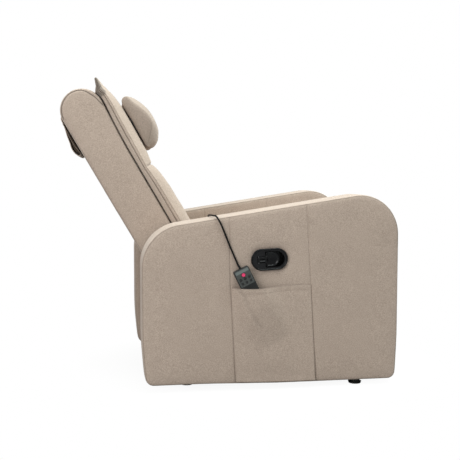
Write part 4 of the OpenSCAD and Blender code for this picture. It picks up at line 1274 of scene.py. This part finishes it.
slot_of = {s["node"]: s["material_slot"] for s in frame["record"]["subparts"]}
for nm, o in frame["nodes"].items():
    mat = mats.get(slot_of.get(nm, ""), cloth)
    for s in o.material_slots:
        s.material = mat
    if not o.material_slots:
        o.data.materials.append(mat)

bevels = {"remote_case": 1.6, "remote_window": 0.4, "power_button": 0.6, "feet": 1.2,
          "strap_buckle": 1.2, "power_inlet": 0.5, "control_box": 2.0, "base_frame": 0.6,
          "side_plates": 0.5, "main_links": 0.4, "outer_links": 0.4, "rear_links": 0.4,
          "drive_links": 0.4, "footrest_brackets": 0.4, "back_brackets": 0.4, "release_pawl": 0.4,
          "seat_frame": 1.5, "back_frame": 1.5, "footrest_board": 1.0, "base_bolts": 0.5,
          "handle_bezel": 0.7}
for nm in ("mode_key", "level_key", "heat_key", "back_key", "lumbar_key", "thigh_key"):
    bevels[nm] = 0.5
for nm, w in bevels.items():
    o = frame["nodes"][nm]
    b = o.modifiers.new("soft_edges", "BEVEL")
    b.width = w / 1000
    b.segments = 3
    b.limit_method = "ANGLE"
    b.angle_limit = math.radians(40)
    b.harden_normals = False

# ---------------------------------------------------------------- stage, light and camera


def area(name, loc, target, size, power, color=(1, 1, 1)):
    d = bpy.data.lights.new(name, "AREA")
    d.shape = "RECTANGLE"
    d.size, d.size_y = size
    d.energy = power
    d.color = color
    o = bpy.data.objects.new(name, d)
    o.location = loc
    o.rotation_euler = (Vector(target) - Vector(loc)).to_track_quat("-Z", "Y").to_euler()
    scene.collection.objects.link(o)


me = bpy.data.meshes.new("floor")
s = 9.0
me.from_pydata([(-s, -s, 0), (s, -s, 0), (s, s, 0), (-s, s, 0)], [], [(0, 1, 2, 3)])
fm, fnt, fb = material("floor")
fb.inputs["Base Color"].default_value = (0.34, 0.34, 0.34, 1)
fb.inputs["Roughness"].default_value = 0.8
pale = fnt.nodes.new("ShaderNodeBsdfDiffuse")
pale.inputs["Color"].default_value = (0.93, 0.93, 0.93, 1)
glow = fnt.nodes.new("ShaderNodeEmission")
glow.inputs["Strength"].default_value = 1.0
where = fnt.nodes.new("ShaderNodeTexCoord").outputs["Object"]
span = fnt.nodes.new("ShaderNodeMapping")
span.inputs["Location"].default_value = (0.0, 0.05, 0.0)
span.inputs["Scale"].default_value = (1.0, 1.15, 1.0)
fnt.links.new(where, span.inputs["Vector"])
reach = fnt.nodes.new("ShaderNodeVectorMath")
reach.operation = "LENGTH"
fnt.links.new(span.outputs["Vector"], reach.inputs[0])
fade = ramp_of(fnt, math_of(fnt, "MULTIPLY", reach.outputs["Value"], 0.5),
               [(0.20, (0.93, 0.93, 0.93)), (0.34, (1, 1, 1))])
seen = fnt.nodes.new("ShaderNodeMixShader")
fnt.links.new(fade, seen.inputs[0])
fnt.links.new(pale.outputs[0], seen.inputs[1])
fnt.links.new(glow.outputs[0], seen.inputs[2])
ray = fnt.nodes.new("ShaderNodeLightPath")
both_ = fnt.nodes.new("ShaderNodeMixShader")
fnt.links.new(ray.outputs["Is Camera Ray"], both_.inputs[0])
fnt.links.new(fb.outputs[0], both_.inputs[1])
fnt.links.new(seen.outputs[0], both_.inputs[2])
fnt.links.new(both_.outputs[0], fnt.nodes["Material Output"].inputs["Surface"])
me.materials.append(fm)
floor = bpy.data.objects.new("floor", me)
scene.collection.objects.link(floor)

w = bpy.data.worlds.new("studio")
scene.world = w
w.use_nodes = True
nt = w.node_tree
bg = nt.nodes["Background"]
bg.inputs["Color"].default_value = (1, 1, 1, 1)
bg.inputs["Strength"].default_value = 0.46
bg2 = nt.nodes.new("ShaderNodeBackground")
bg2.inputs["Color"].default_value = (1, 1, 1, 1)
bg2.inputs["Strength"].default_value = 1.0
lp = nt.nodes.new("ShaderNodeLightPath")
mx = nt.nodes.new("ShaderNodeMixShader")
out = nt.nodes["World Output"]
nt.links.new(lp.outputs["Is Camera Ray"], mx.inputs[0])
nt.links.new(bg.outputs[0], mx.inputs[1])
nt.links.new(bg2.outputs[0], mx.inputs[2])
nt.links.new(mx.outputs[0], out.inputs["Surface"])

area("key", (0.5, -0.5, 3.4), (0, 0, 0.4), (3.0, 2.4), 164, (0.92, 1.0, 0.985))
area("fill", (-2.9, -2.9, 2.0), (-0.5, -0.3, 0.6), (2.2, 1.6), 88)
area("rim", (2.6, 1.1, 2.3), (0, 0, 0.6), (2.0, 2.0), 52, (0.93, 1.0, 0.99))

cam = bpy.data.cameras.new("camera")
cam.lens = 60.4
cam.sensor_width = 36
cam_o = bpy.data.objects.new("camera", cam)
cam_o.location = (-0.514, -2.800, 0.690)
cam_o.rotation_euler = (math.radians(90 - 4.09), 0, math.radians(-8.83))
scene.collection.objects.link(cam_o)
scene.camera = cam_o
scene.view_settings.view_transform = "Standard"
